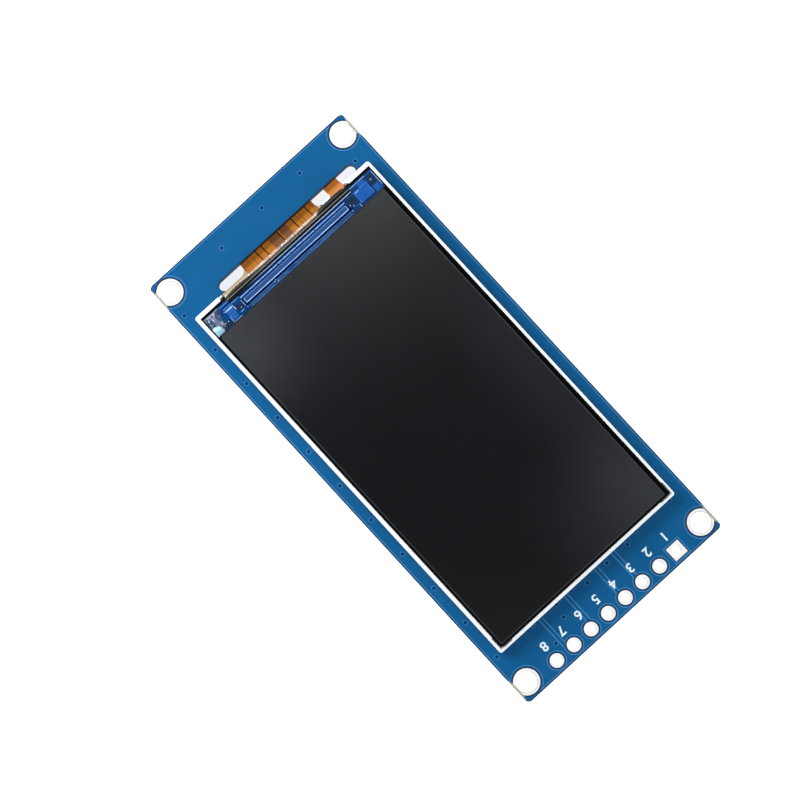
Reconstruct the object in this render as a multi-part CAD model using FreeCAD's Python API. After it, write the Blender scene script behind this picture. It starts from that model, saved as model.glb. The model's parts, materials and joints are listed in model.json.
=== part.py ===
import FreeCAD, Part
import math
import os

from FreeCAD import Vector

os.makedirs("parts", exist_ok=True)

# A small colour display module: a bare panel taped to the front of a breakout board.
# Millimetres. The origin is the centre of the four mounting holes on the board's back face.
# +Z points out of the front, +Y towards the end where the flexes leave the panel.

# Circuit board
board_width = 28.8
board_length = 61.8
board_thickness = 1.6
board_corner_radius = 0.6
pad_thickness = 0.04
plating = 0.04

# Mounting holes, one near each corner
mount_inset_x = 1.5
mount_inset_y = 1.9
mount_hole_radius = 1.2
mount_pad_ring = 0.25
mount_pad_edge_inset = 0.26

# Header row, along the end away from the flexes
header_count = 8
header_pitch = 2.54
header_edge_inset = 1.38
header_hole_radius = 0.5
header_pad_ring = 0.3
first_pad_side = 1.7

# Slot for the flexes, just past the panel's end
slot_length = 20.03
slot_width = 1.25
slot_centre_x = 1.4
slot_gap = 0.03

# Panel outline and the rim of its moulded frame
panel_width = 25.8
panel_length = 49.72
panel_corner_radius = 0.3
rim_left = 0.45
rim_right = 0.33
rim_bottom = 0.40
rim_top = 0.5
rim_below_top = 0.23
relief_length = 1.5
relief_depth = 0.12
notch_inset_left = 3.5
notch_inset_right = 3.2
notch_slant = 0.55
notch_sill_drop = 0.12

# Layers of the panel, from the board up
tape_thickness = 0.15
tape_inset = 1.2
reflector_thickness = 0.07
reflector_inset = 0.2
light_guide_thickness = 0.39
diffuser_thickness = 0.05
prism_thickness = 0.06
shield_thickness = 0.05
rear_polarizer_thickness = 0.12
array_glass_thickness = 0.25
filter_glass_thickness = 0.25
front_polarizer_thickness = 0.13

# Outlines of the layers
active_width = 22.70
active_length = 42.72
active_bottom_border = 2.0
glass_gap = 0.15
glass_end_gap = 0.30
ledge_length = 2.56
guide_margin = 0.45
guide_led_margin = 1.1
guide_gap = 0.1
film_gap = 0.05
shield_gap = 0.08
shield_window_margin = 0.2
rear_polarizer_inset = 0.2
front_polarizer_inset = 0.05
front_polarizer_inset_right = 0.28
front_polarizer_inset_top = 0.2

# Lamps that fire into the flex end of the light guide
led_count = 4
led_pitch = 5.4
led_length = 3.8
led_depth = 0.85
led_gap = 0.02
led_window_length = 2.9
led_window_depth = 0.15
led_window_wall = 0.05

# Driver chip
chip_length = 15.2
chip_width = 0.68
chip_height = 0.26
chip_edge_gap = 0.72
chip_centre_x = 0.14

# Flexes
flex_thickness = 0.1
flex_bend_radius = 0.45
flex_slot_clearance = 0.06
display_flex_centre_x = 0.13
display_flex_root_width = 17.95
display_flex_finger_width = 10.55
display_flex_bond = 0.5
display_flex_bend_start = 0.09
display_flex_reach_left = 0.82
display_flex_reach_right = 0.45
display_flex_fillet = 0.9
display_flex_tail = 1.8
strip_side_inset = 1.9
strip_guide_overlap = 0.45
strip_behind_leds = 0.3
backlight_tail_centre_x = 8.2
backlight_tail_width = 1.87
backlight_tail_length = 1.5
backlight_bend_start = 0.26

# Contacts of the flexes on the board's back
display_contact_count = 13
display_contact_pitch = 0.8
display_contact_width = 0.42
backlight_contact_count = 2
backlight_contact_pitch = 0.95
backlight_contact_width = 0.6
contact_under_flex = 0.6
contact_past_flex = 0.6
contact_solder_height = 0.12
contact_solder_level = 0.4

# Black bead over the flex bond, and the clear drop in the ledge's corner
bead_foot = 0.12
bead_height = 0.08
bead_reach = 0.07
bead_end_inset = 0.15
bead_waist = 0.8
bead_bend_angle = 52.0
bead_left_bulge_inset = 1.2
bead_left_bulge_length = 2.6
bead_left_bulge_rise = 0.27
bead_right_bulge_inset = 1.6
bead_right_bulge_length = 2.8
bead_right_bulge_rise = 0.42
sealant_length = 2.3
sealant_height = 0.22
sealant_corner_radius = 0.8
sealant_edge_chamfer = 0.12

# Three-lead parts on the board's back
sot_length = 2.9
sot_width = 1.3
sot_height = 1.0
sot_standoff = 0.05
sot_lead_pitch = 1.9
sot_lead_width = 0.4
sot_lead_thickness = 0.12
sot_lead_span = 2.4
sot_shoulder = 0.27
sot_solder_length = 0.2
sot_edge_chamfer = 0.12
regulator_edge_inset = 8.4
regulator_header_gap = 7.0
transistor_edge_inset = 5.4
transistor_slot_gap = 3.3

# Chip capacitors and chip resistors on the board's back
chip_part_length = 1.6
chip_part_width = 0.8
capacitor_height = 0.8
resistor_height = 0.45
terminal_length = 0.3
terminal_wall = 0.03
solder_reach = 0.3
solder_rise = 0.3
solder_hollow = 0.35
pad_side_margin = 0.05
capacitor_spacing = 3.8
resistor_spacing = 3.4
loose_row_slot_gap = 2.3
loose_row_pitch = 3.0

# Heights that follow
z_board_front = board_thickness
z_reflector = z_board_front + tape_thickness
z_light_guide = z_reflector + reflector_thickness
z_diffuser = z_light_guide + light_guide_thickness
z_lower_prism = z_diffuser + diffuser_thickness
z_upper_prism = z_lower_prism + prism_thickness
z_shield = z_upper_prism + prism_thickness
z_rear_polarizer = z_shield + shield_thickness
z_array_glass = z_rear_polarizer + rear_polarizer_thickness
z_ledge = z_array_glass + array_glass_thickness
z_front_polarizer = z_ledge + filter_glass_thickness
z_panel_top = z_front_polarizer + front_polarizer_thickness
z_rim = z_panel_top - rim_below_top

# Outlines that follow, centred on the board
frame_x = panel_width / 2
frame_y = panel_length / 2
pocket_x0 = -frame_x + rim_left
pocket_x1 = frame_x - rim_right
pocket_y0 = -frame_y + rim_bottom
pocket_y1 = frame_y - rim_top
glass_x0 = pocket_x0 + glass_gap
glass_x1 = pocket_x1 - glass_gap
glass_y0 = pocket_y0 + glass_gap
glass_y1 = pocket_y1 - glass_end_gap
filter_y1 = glass_y1 - ledge_length
active_x0 = -active_width / 2
active_x1 = active_width / 2
active_y0 = glass_y0 + active_bottom_border
active_y1 = active_y0 + active_length
guide_x0 = active_x0 - guide_margin
guide_x1 = active_x1 + guide_margin
guide_y0 = active_y0 - guide_margin
guide_y1 = active_y1 + guide_led_margin
led_y0 = guide_y1 + led_gap
led_y1 = led_y0 + led_depth
strip_x = frame_x - strip_side_inset
strip_y0 = guide_y1 - strip_guide_overlap
strip_y1 = led_y1 + strip_behind_leds
film_y1 = strip_y0 - film_gap
slot_y0 = frame_y + slot_gap
slot_y1 = slot_y0 + slot_width
flex_y0 = glass_y1 - display_flex_bond
flex_bend_y = glass_y1 + display_flex_bend_start
flex_land_y = slot_y1 - flex_slot_clearance
z_tail = -pad_thickness - flex_thickness / 2
header_y = -board_length / 2 + header_edge_inset
drill_margin = 1.0

# Places of the parts on the board's back
regulator_place = (board_width / 2 - regulator_edge_inset, header_y + regulator_header_gap)
transistor_place = (board_width / 2 - transistor_edge_inset, slot_y0 - transistor_slot_gap)
loose_row_y = slot_y0 - loose_row_slot_gap
loose_row_x = display_flex_centre_x - loose_row_pitch
capacitor_places = [
    (regulator_place[0] - capacitor_spacing, regulator_place[1]),
    (regulator_place[0] + capacitor_spacing, regulator_place[1]),
    (loose_row_x, loose_row_y),
]
resistor_places = [
    (transistor_place[0] - resistor_spacing, transistor_place[1]),
    (transistor_place[0] + resistor_spacing, transistor_place[1]),
    (loose_row_x - loose_row_pitch, loose_row_y),
    (loose_row_x + loose_row_pitch, loose_row_y),
]


def outline_face(corners):
    """A flat face at z = 0 from (x, y, radius) corners, in order, each rounded by its radius."""
    count = len(corners)
    edges = []
    stretches = []
    for index, (x, y, radius) in enumerate(corners):
        corner = Vector(x, y, 0)
        before = Vector(corners[index - 1][0], corners[index - 1][1], 0)
        after = Vector(corners[(index + 1) % count][0], corners[(index + 1) % count][1], 0)
        if radius <= 0:
            stretches.append((corner, corner))
            continue
        to_before = (before - corner).normalize()
        to_after = (after - corner).normalize()
        half_angle = to_before.getAngle(to_after) / 2
        start = corner + to_before * (radius / math.tan(half_angle))
        end = corner + to_after * (radius / math.tan(half_angle))
        centre = corner + (to_before + to_after).normalize() * (radius / math.sin(half_angle))
        middle = centre + (corner - centre).normalize() * radius
        edges.append(Part.Arc(start, middle, end).toShape())
        stretches.append((start, end))
    for index in range(count):
        start = stretches[index][1]
        end = stretches[(index + 1) % count][0]
        if start.distanceToPoint(end) > 1e-6:
            edges.append(Part.makeLine(start, end))
    return Part.Face(Part.Wire(Part.__sortEdges__(edges)))


def layer(face, z0, z1):
    """The solid between two heights over a flat face."""
    solid = face.extrude(Vector(0, 0, z1 - z0))
    solid.translate(Vector(0, 0, z0))
    return solid


def plate(x0, x1, y0, y1, z0, z1, radius=0.0):
    """A rectangular plate with equally rounded corners."""
    corners = [(x0, y0, radius), (x1, y0, radius), (x1, y1, radius), (x0, y1, radius)]
    return layer(outline_face(corners), z0, z1)


def side_profile(points, x0, x1):
    """The solid of a (y, z) outline drawn out along X."""
    vertices = [Vector(x0, y, z) for y, z in points]
    face = Part.Face(Part.makePolygon(vertices + vertices[:1]))
    return face.extrude(Vector(x1 - x0, 0, 0))


def disc(x, y, radius, z0, z1):
    """An upright cylinder between two heights."""
    return Part.makeCylinder(radius, z1 - z0, Vector(x, y, z0))


def evenly(count, pitch):
    """Centred positions of a row."""
    return [(index - (count - 1) / 2) * pitch for index in range(count)]


def save(name, solids):
    """Writes one node: a solid, or a group of separate solids."""
    shape = solids[0] if len(solids) == 1 else Part.makeCompound(solids)
    shape.exportStep("parts/" + name + ".step")


# Board

def mount_places():
    """Centres of the mounting holes."""
    half_x = board_width / 2 - mount_inset_x
    half_y = board_length / 2 - mount_inset_y
    return [(x, y) for x in (-half_x, half_x) for y in (-half_y, half_y)]


def header_places():
    """Centres of the header holes, the square pad first."""
    return [(-x, header_y) for x in evenly(header_count, header_pitch)]


def circuit_board():
    """The bare board, drilled and slotted."""
    half_x = board_width / 2
    half_y = board_length / 2
    board = plate(-half_x, half_x, -half_y, half_y, 0, board_thickness, board_corner_radius)
    slot_x0 = slot_centre_x - slot_length / 2
    slot_x1 = slot_centre_x + slot_length / 2
    below = -drill_margin
    above = board_thickness + drill_margin
    cuts = [plate(slot_x0, slot_x1, slot_y0, slot_y1, below, above, slot_width / 2)]
    for x, y in mount_places():
        cuts.append(disc(x, y, mount_hole_radius + plating, below, above))
    for x, y in header_places():
        cuts.append(disc(x, y, header_hole_radius + plating, below, above))
    return board.cut(cuts)


def plated_hole(x, y, hole_radius, pad_radius):
    """A tinned hole: its coating is thickest at the rim and thins out to the pad's edge on both faces."""
    barrel_radius = hole_radius + plating
    profile = [
        (hole_radius, -pad_thickness), (hole_radius, board_thickness + pad_thickness),
        (pad_radius, board_thickness), (barrel_radius, board_thickness),
        (barrel_radius, 0), (pad_radius, 0),
    ]
    vertices = [Vector(x + radius, y, z) for radius, z in profile]
    face = Part.Face(Part.makePolygon(vertices + vertices[:1]))
    return face.revolve(Vector(x, y, 0), Vector(0, 0, 1), 360)


def square_plated_hole(x, y, hole_radius, side):
    """The same with flat square pads, which marks the first contact."""
    half = side / 2
    above = board_thickness + pad_thickness
    front_pad = plate(x - half, x + half, y - half, y + half, board_thickness, above)
    back_pad = plate(x - half, x + half, y - half, y + half, -pad_thickness, 0)
    barrel = disc(x, y, hole_radius + plating, 0, board_thickness)
    bore = disc(x, y, hole_radius, -drill_margin, board_thickness + drill_margin)
    return front_pad.fuse([back_pad, barrel]).cut(bore).removeSplitter()


def mounting_pads():
    """Round pads near the corners, cut straight where they come near the board's long edges."""
    limit_x = board_width / 2 - mount_pad_edge_inset
    radius = mount_hole_radius + plating + mount_pad_ring
    pads = []
    for x, y in mount_places():
        strip = plate(
            -limit_x, limit_x, y - 2 * radius, y + 2 * radius,
            -drill_margin, board_thickness + drill_margin,
        )
        pads.append(plated_hole(x, y, mount_hole_radius, radius).common(strip))
    return pads


def header_pads():
    """One square pad, then round ones."""
    first, *others = header_places()
    square = square_plated_hole(*first, header_hole_radius, first_pad_side)
    radius = header_hole_radius + header_pad_ring
    return [square] + [plated_hole(x, y, header_hole_radius, radius) for x, y in others]


# Backlight

def backlight_frame():
    """Moulded frame: a thin rim round the glass, a ledge under it and an opening for the light guide."""
    frame = plate(-frame_x, frame_x, -frame_y, frame_y, z_light_guide, z_rim, panel_corner_radius)
    pocket = plate(pocket_x0, pocket_x1, pocket_y0, pocket_y1, z_shield, z_panel_top)
    window = plate(
        guide_x0 - guide_gap, guide_x1 + guide_gap, guide_y0 - guide_gap, led_y1 + guide_gap,
        z_light_guide, z_shield,
    )
    strip_bed = plate(
        -strip_x - guide_gap, strip_x + guide_gap, strip_y0 - guide_gap, strip_y1 + guide_gap,
        z_diffuser, z_shield,
    )
    tail_half = backlight_tail_width / 2 + guide_gap
    tail_bed = plate(
        backlight_tail_centre_x - tail_half, backlight_tail_centre_x + tail_half, strip_y1, pocket_y1,
        z_diffuser, z_shield,
    )
    cuts = [pocket, window, strip_bed, tail_bed, flex_notch()]
    return frame.cut(cuts + flex_passages() + corner_reliefs())


def flex_notch():
    """Gap in the flex end's wall, slanted on one side, down to a sill below the flexes."""
    left = -frame_x + notch_inset_left
    right = frame_x - notch_inset_right
    outside = frame_y + drill_margin
    slope = notch_slant / rim_top
    face = outline_face([
        (left, pocket_y1, 0), (right, pocket_y1, 0),
        (right - slope * (outside - pocket_y1), outside, 0), (left, outside, 0),
    ])
    return layer(face, z_shield - notch_sill_drop, z_panel_top)


def flex_passages():
    """Openings through the notch's sill where the two flexes bend down."""
    display_left = display_flex_centre_x - display_flex_root_width / 2 - guide_gap
    finger_right = display_flex_centre_x + display_flex_finger_width / 2
    display_right = finger_right + display_flex_fillet / 2 + flex_slot_clearance
    tail_half = backlight_tail_width / 2 + guide_gap
    return [
        plate(x0, x1, pocket_y1, frame_y + drill_margin, z_light_guide, z_panel_top)
        for x0, x1 in (
            (display_left, display_right),
            (backlight_tail_centre_x - tail_half, backlight_tail_centre_x + tail_half),
        )
    ]


def corner_reliefs():
    """Shallow pockets in the rim beside the glass's two lower corners."""
    low_y = pocket_y0 - relief_depth
    left = plate(
        pocket_x0 - relief_depth, pocket_x0 + relief_length, low_y, pocket_y0 + relief_length,
        z_shield, z_panel_top,
    )
    right = plate(
        pocket_x1 - relief_length, pocket_x1 + relief_depth, low_y, pocket_y0 + relief_length,
        z_shield, z_panel_top,
    )
    return [left, right]


def mounting_tape():
    """Double-sided tape between board and panel."""
    return plate(
        -frame_x + tape_inset, frame_x - tape_inset, -frame_y + tape_inset, frame_y - tape_inset,
        z_board_front, z_reflector,
    )


def reflector_film():
    """Reflector that closes the frame from below."""
    return plate(
        -frame_x + reflector_inset, frame_x - reflector_inset,
        -frame_y + reflector_inset, pocket_y1 - reflector_inset,
        z_reflector, z_light_guide,
    )


def light_guide():
    """Clear moulded plate that spreads the light."""
    return plate(guide_x0, guide_x1, guide_y0, guide_y1, z_light_guide, z_diffuser)


def film(z0, thickness):
    """One film of the stack over the light guide."""
    return plate(guide_x0 + film_gap, guide_x1 - film_gap, guide_y0 + film_gap, film_y1, z0, z0 + thickness)


def light_shield_tape():
    """Black ring of tape that holds the films and carries the glass."""
    ring = plate(
        pocket_x0 + shield_gap, pocket_x1 - shield_gap, pocket_y0 + shield_gap, glass_y1,
        z_shield, z_rear_polarizer,
    )
    window = plate(
        active_x0 - shield_window_margin, active_x1 + shield_window_margin,
        active_y0 - shield_window_margin, active_y1 + shield_window_margin,
        z_shield, z_rear_polarizer,
    )
    return ring.cut(window)


def backlight_leds():
    """Housings of the lamps, each with a recess for its window."""
    housings = []
    for x in evenly(led_count, led_pitch):
        housing = plate(x - led_length / 2, x + led_length / 2, led_y0, led_y1, z_light_guide, z_diffuser)
        housings.append(housing.cut(led_window(x)))
    return housings


def led_window(x):
    """Phosphor window that fills one lamp's recess."""
    return plate(
        x - led_window_length / 2, x + led_window_length / 2, led_y0, led_y0 + led_window_depth,
        z_light_guide + led_window_wall, z_diffuser - led_window_wall,
    )


# Cell

def rear_polarizer():
    """Polarizer under the array glass."""
    return plate(
        glass_x0 + rear_polarizer_inset, glass_x1 - rear_polarizer_inset,
        glass_y0 + rear_polarizer_inset, filter_y1 - rear_polarizer_inset,
        z_rear_polarizer, z_array_glass,
    )


def array_glass():
    """Lower glass, which runs on past the upper one as a bare ledge."""
    return plate(glass_x0, glass_x1, glass_y0, glass_y1, z_array_glass, z_ledge)


def colour_filter_glass():
    """Upper glass."""
    return plate(glass_x0, glass_x1, glass_y0, filter_y1, z_ledge, z_front_polarizer)


def front_polarizer():
    """Polarizer that is the visible dark face."""
    return plate(
        glass_x0 + front_polarizer_inset, glass_x1 - front_polarizer_inset_right,
        glass_y0 + front_polarizer_inset, filter_y1 - front_polarizer_inset_top,
        z_front_polarizer, z_panel_top,
    )


def driver_chip():
    """Long bare chip bonded face down on the ledge."""
    return plate(
        chip_centre_x - chip_length / 2, chip_centre_x + chip_length / 2,
        filter_y1 + chip_edge_gap, filter_y1 + chip_edge_gap + chip_width,
        z_ledge, z_ledge + chip_height,
    )


# Flexes

def bend_angle(y_bend, z_high):
    """How far each of a flex's two bends turns, in radians."""
    across = flex_land_y - y_bend
    down = z_high - z_tail - 2 * flex_bend_radius
    straight = math.sqrt(across ** 2 + down ** 2 - (2 * flex_bend_radius) ** 2)
    return math.atan2(down, across) + math.atan2(2 * flex_bend_radius, straight)


def ribbon_edges(y_start, y_bend, y_end, z_high, offset):
    """Edges of a flex's side view, offset from its middle: level, down through the slot, level again."""
    angle = bend_angle(y_bend, z_high)

    def on_upper_bend(turn):
        radius = flex_bend_radius + offset
        centre_z = z_high - flex_bend_radius
        return Vector(0, y_bend + radius * math.sin(turn), centre_z + radius * math.cos(turn))

    def on_lower_bend(turn):
        radius = flex_bend_radius - offset
        centre_z = z_tail + flex_bend_radius
        return Vector(0, flex_land_y - radius * math.sin(turn), centre_z - radius * math.cos(turn))

    start = Vector(0, y_start, z_high + offset)
    end = Vector(0, y_end, z_tail + offset)
    return [
        Part.makeLine(start, on_upper_bend(0)),
        Part.Arc(on_upper_bend(0), on_upper_bend(angle / 2), on_upper_bend(angle)).toShape(),
        Part.makeLine(on_upper_bend(angle), on_lower_bend(angle)),
        Part.Arc(on_lower_bend(angle), on_lower_bend(angle / 2), on_lower_bend(0)).toShape(),
        Part.makeLine(on_lower_bend(0), end),
    ]


def ribbon(x0, x1, y_start, y_bend, y_end, z_high):
    """A flex as a plain ribbon of its full width."""
    upper = ribbon_edges(y_start, y_bend, y_end, z_high, flex_thickness / 2)
    lower = ribbon_edges(y_start, y_bend, y_end, z_high, -flex_thickness / 2)
    ends = [
        Part.makeLine(upper[0].Vertexes[0].Point, lower[0].Vertexes[0].Point),
        Part.makeLine(upper[-1].Vertexes[-1].Point, lower[-1].Vertexes[-1].Point),
    ]
    face = Part.Face(Part.Wire(Part.__sortEdges__(upper + lower + ends)))
    solid = face.extrude(Vector(x1 - x0, 0, 0))
    solid.translate(Vector(x0, 0, 0))
    return solid


def display_flex():
    """Flex from the ledge, through the slot, to the contacts on the board's back."""
    root_half = display_flex_root_width / 2
    finger_half = display_flex_finger_width / 2
    centre = display_flex_centre_x
    left_y = glass_y1 + display_flex_reach_left
    right_y = glass_y1 + display_flex_reach_right
    tail_y = slot_y1 + display_flex_tail
    outline = outline_face([
        (centre - root_half, flex_y0, 0), (centre + root_half, flex_y0, 0),
        (centre + root_half, right_y, 0), (centre + finger_half, right_y, display_flex_fillet),
        (centre + finger_half, tail_y, 0), (centre - finger_half, tail_y, 0),
        (centre - finger_half, left_y, display_flex_fillet), (centre - root_half, left_y, 0),
    ])
    full = ribbon(
        centre - root_half, centre + root_half, flex_y0, flex_bend_y, tail_y,
        z_ledge + flex_thickness / 2,
    )
    return full.common(layer(outline, z_tail - flex_thickness, z_panel_top))


def backlight_flex():
    """Strip over the lamps, with a narrow tail that leaves beside the display flex."""
    tail_half = backlight_tail_width / 2
    centre = backlight_tail_centre_x
    tail_y = slot_y1 + backlight_tail_length
    outline = outline_face([
        (-strip_x, strip_y0, 0), (strip_x, strip_y0, 0), (strip_x, strip_y1, 0),
        (centre + tail_half, strip_y1, 0), (centre + tail_half, tail_y, 0),
        (centre - tail_half, tail_y, 0), (centre - tail_half, strip_y1, 0), (-strip_x, strip_y1, 0),
    ])
    full = ribbon(
        -strip_x, strip_x, strip_y0, frame_y - backlight_bend_start, tail_y,
        z_diffuser + flex_thickness / 2,
    )
    return full.common(layer(outline, z_tail - flex_thickness, z_panel_top))


def contact_rows():
    """Each flex contact on the board's back: its x, its half width and the flex end it sits at."""
    display_end = slot_y1 + display_flex_tail
    backlight_end = slot_y1 + backlight_tail_length
    rows = []
    for x in evenly(display_contact_count, display_contact_pitch):
        rows.append((display_flex_centre_x + x, display_contact_width / 2, display_end))
    for x in evenly(backlight_contact_count, backlight_contact_pitch):
        rows.append((backlight_tail_centre_x + x, backlight_contact_width / 2, backlight_end))
    return rows


def flex_contact_pads():
    """Board pads that run out from under the flex ends."""
    return [
        plate(x - half, x + half, end_y - contact_under_flex, end_y + contact_past_flex, -pad_thickness, 0)
        for x, half, end_y in contact_rows()
    ]


def flex_solder_joints():
    """Solder against each flex end, sloping down to its pad."""
    joints = []
    crest = -pad_thickness - contact_solder_height
    for x, half, end_y in contact_rows():
        profile = [
            (end_y, -pad_thickness), (end_y, crest),
            (end_y + contact_past_flex * contact_solder_level, crest),
            (end_y + contact_past_flex, -pad_thickness),
        ]
        joints.append(side_profile(profile, x - half, x + half))
    return joints


def bond_bead():
    """Glossy black bead from the ledge over the flex's edge and round its bend, bulging near both ends."""
    top = z_ledge + flex_thickness
    centre_z = z_ledge + flex_thickness / 2 - flex_bend_radius
    turn = math.radians(bead_bend_angle)
    inner = flex_bend_radius + flex_thickness / 2
    outer = inner + bead_height

    def on_bend(radius, angle):
        return Vector(0, flex_bend_y + radius * math.sin(angle), centre_z + radius * math.cos(angle))

    foot = Vector(0, flex_y0 - bead_foot, z_ledge)
    shoulder = Vector(0, flex_y0, top + bead_height)
    waist = Vector(0, flex_y0 - bead_foot * bead_waist, top)
    flex_edge = Vector(0, flex_y0, z_ledge)
    edges = [
        Part.makeLine(foot, flex_edge),
        Part.makeLine(flex_edge, Vector(0, flex_y0, top)),
        Part.makeLine(Vector(0, flex_y0, top), on_bend(inner, 0)),
        Part.Arc(on_bend(inner, 0), on_bend(inner, turn / 2), on_bend(inner, turn)).toShape(),
        Part.makeLine(on_bend(inner, turn), on_bend(outer, turn)),
        Part.Arc(on_bend(outer, 0), on_bend(outer, turn / 2), on_bend(outer, turn)).toShape(),
        Part.makeLine(on_bend(outer, 0), shoulder),
        Part.Arc(shoulder, waist, foot).toShape(),
    ]
    x0 = display_flex_centre_x - display_flex_root_width / 2 + bead_end_inset
    x1 = display_flex_centre_x + display_flex_root_width / 2 - bead_end_inset
    band = Part.Face(Part.Wire(Part.__sortEdges__(edges))).extrude(Vector(x1 - x0, 0, 0))
    band.translate(Vector(x0, 0, 0))
    return band.common(layer(bead_outline(x0, x1), z_ledge - drill_margin, z_panel_top))


def bead_outline(x0, x1):
    """Seen from the front: a straight lower edge and an upper edge that swells at both ends."""
    low_y = flex_y0 - bead_foot
    high_y = glass_y1 + bead_reach
    left = x0 + bead_left_bulge_inset
    right = x1 - bead_right_bulge_inset
    crest = [
        (x0, high_y), (left, high_y + bead_left_bulge_rise), (left + bead_left_bulge_length, high_y),
        (right - bead_right_bulge_length, high_y), (right, high_y + bead_right_bulge_rise), (x1, high_y),
    ]
    curve = Part.BSplineCurve()
    curve.interpolate([Vector(x, y, 0) for x, y in crest])
    edges = [
        curve.toShape(),
        Part.makeLine(Vector(x1, high_y, 0), Vector(x1, low_y, 0)),
        Part.makeLine(Vector(x1, low_y, 0), Vector(x0, low_y, 0)),
        Part.makeLine(Vector(x0, low_y, 0), Vector(x0, high_y, 0)),
    ]
    return Part.Face(Part.Wire(Part.__sortEdges__(edges)))


def corner_sealant():
    """Low clear drop in the ledge's corner, up against the edges of both glasses."""
    drop = layer(
        outline_face([
            (glass_x0, filter_y1, 0), (glass_x0 + sealant_length, filter_y1, sealant_corner_radius),
            (glass_x0 + sealant_length, glass_y1, sealant_corner_radius), (glass_x0, glass_y1, 0),
        ]),
        z_ledge, z_ledge + sealant_height,
    )
    top_edges = [edge for edge in drop.Edges if edge.BoundBox.ZMin > z_ledge + sealant_height / 2]
    return drop.makeChamfer(sealant_edge_chamfer, top_edges)


# Parts on the board's back

def facing_back(solid, place):
    """Turns a part drawn standing on z = 0 to stand on the pads of the board's back at a place."""
    turned = solid.copy()
    turned.rotate(Vector(0, 0, 0), Vector(0, 1, 0), 180)
    turned.translate(Vector(place[0], place[1], -pad_thickness))
    return turned


def sot_body(place):
    """Moulded body with its edges drafted towards the top."""
    half_x = sot_length / 2
    half_y = sot_width / 2
    body = plate(-half_x, half_x, -half_y, half_y, sot_standoff, sot_standoff + sot_height)
    top_edges = [
        edge for edge in body.Edges
        if min(vertex.Z for vertex in edge.Vertexes) > sot_standoff + sot_height / 2
    ]
    return facing_back(body.makeChamfer(sot_edge_chamfer, top_edges), place)


def sot_lead_rows():
    """Each lead's x and the side it is on: two on one side, one on the other."""
    return [(-sot_lead_pitch / 2, 1), (sot_lead_pitch / 2, 1), (0, -1)]


def sot_leads(place):
    """Gull-wing leads from the body's sides down to their pads."""
    body_y = sot_width / 2
    toe_y = sot_lead_span / 2
    shoulder_y = body_y + sot_shoulder
    leg_y = shoulder_y - sot_lead_thickness
    high = sot_standoff + sot_height / 2
    under = high - sot_lead_thickness
    foot = sot_lead_thickness
    outline = [
        (body_y, under), (leg_y, under), (leg_y, 0), (toe_y, 0),
        (toe_y, foot), (shoulder_y, foot), (shoulder_y, high), (body_y, high),
    ]
    leads = []
    for x, side in sot_lead_rows():
        profile = [(side * y, z) for y, z in outline]
        lead = side_profile(profile, x - sot_lead_width / 2, x + sot_lead_width / 2)
        leads.append(facing_back(lead, place))
    return leads


def sot_solder(place):
    """Solder sloping from each toe down to its pad."""
    toe_y = sot_lead_span / 2
    joints = []
    for x, side in sot_lead_rows():
        profile = [
            (side * toe_y, 0), (side * (toe_y + sot_solder_length), 0),
            (side * (toe_y + sot_solder_length * solder_hollow), sot_lead_thickness * solder_hollow),
            (side * toe_y, sot_lead_thickness),
        ]
        joint = side_profile(profile, x - sot_lead_width / 2, x + sot_lead_width / 2)
        joints.append(facing_back(joint, place))
    return joints


def sot_pads(place):
    """Board pads under the feet and their solder."""
    inner_y = sot_width / 2
    outer_y = sot_lead_span / 2 + sot_solder_length
    pads = []
    for x, side in sot_lead_rows():
        half = sot_lead_width / 2 + pad_side_margin
        low_y, high_y = sorted((place[1] + side * inner_y, place[1] + side * outer_y))
        pads.append(plate(place[0] - x - half, place[0] - x + half, low_y, high_y, -pad_thickness, 0))
    return pads


def chip_body(place, height):
    """Ceramic block of a two-terminal chip, just inside its terminals."""
    half_x = chip_part_width / 2 - terminal_wall
    half_y = chip_part_length / 2 - terminal_wall
    block = plate(-half_x, half_x, -half_y, half_y, terminal_wall, height - terminal_wall)
    return facing_back(block, place)


def chip_terminals(place, height):
    """Metal caps round both ends of the block."""
    half_x = chip_part_width / 2
    half_y = chip_part_length / 2
    caps = []
    for side in (-1, 1):
        low_y, high_y = sorted((side * (half_y - terminal_length), side * half_y))
        cap = plate(-half_x, half_x, low_y, high_y, 0, height)
        caps.append(facing_back(cap, place).cut(chip_body(place, height)))
    return caps


def chip_solder(place):
    """Solder against both end faces."""
    half_x = chip_part_width / 2
    half_y = chip_part_length / 2
    joints = []
    for side in (-1, 1):
        profile = [
            (side * half_y, 0), (side * (half_y + solder_reach), 0),
            (side * (half_y + solder_reach * solder_hollow), solder_rise * solder_hollow),
            (side * half_y, solder_rise),
        ]
        joints.append(facing_back(side_profile(profile, -half_x, half_x), place))
    return joints


def chip_pads(place):
    """Board pads under both ends and their solder."""
    half_x = chip_part_width / 2 + pad_side_margin
    inner_y = chip_part_length / 2 - terminal_length
    outer_y = chip_part_length / 2 + solder_reach
    pads = []
    for side in (-1, 1):
        low_y, high_y = sorted((place[1] + side * inner_y, place[1] + side * outer_y))
        pads.append(plate(place[0] - half_x, place[0] + half_x, low_y, high_y, -pad_thickness, 0))
    return pads


def gather(make, places, *sizes):
    """All the solids that a function makes at several places."""
    return [solid for place in places for solid in make(place, *sizes)]


def write_board():
    save("circuit_board", [circuit_board()])
    save("mounting_pads", mounting_pads())
    save("header_pads", header_pads())


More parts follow.
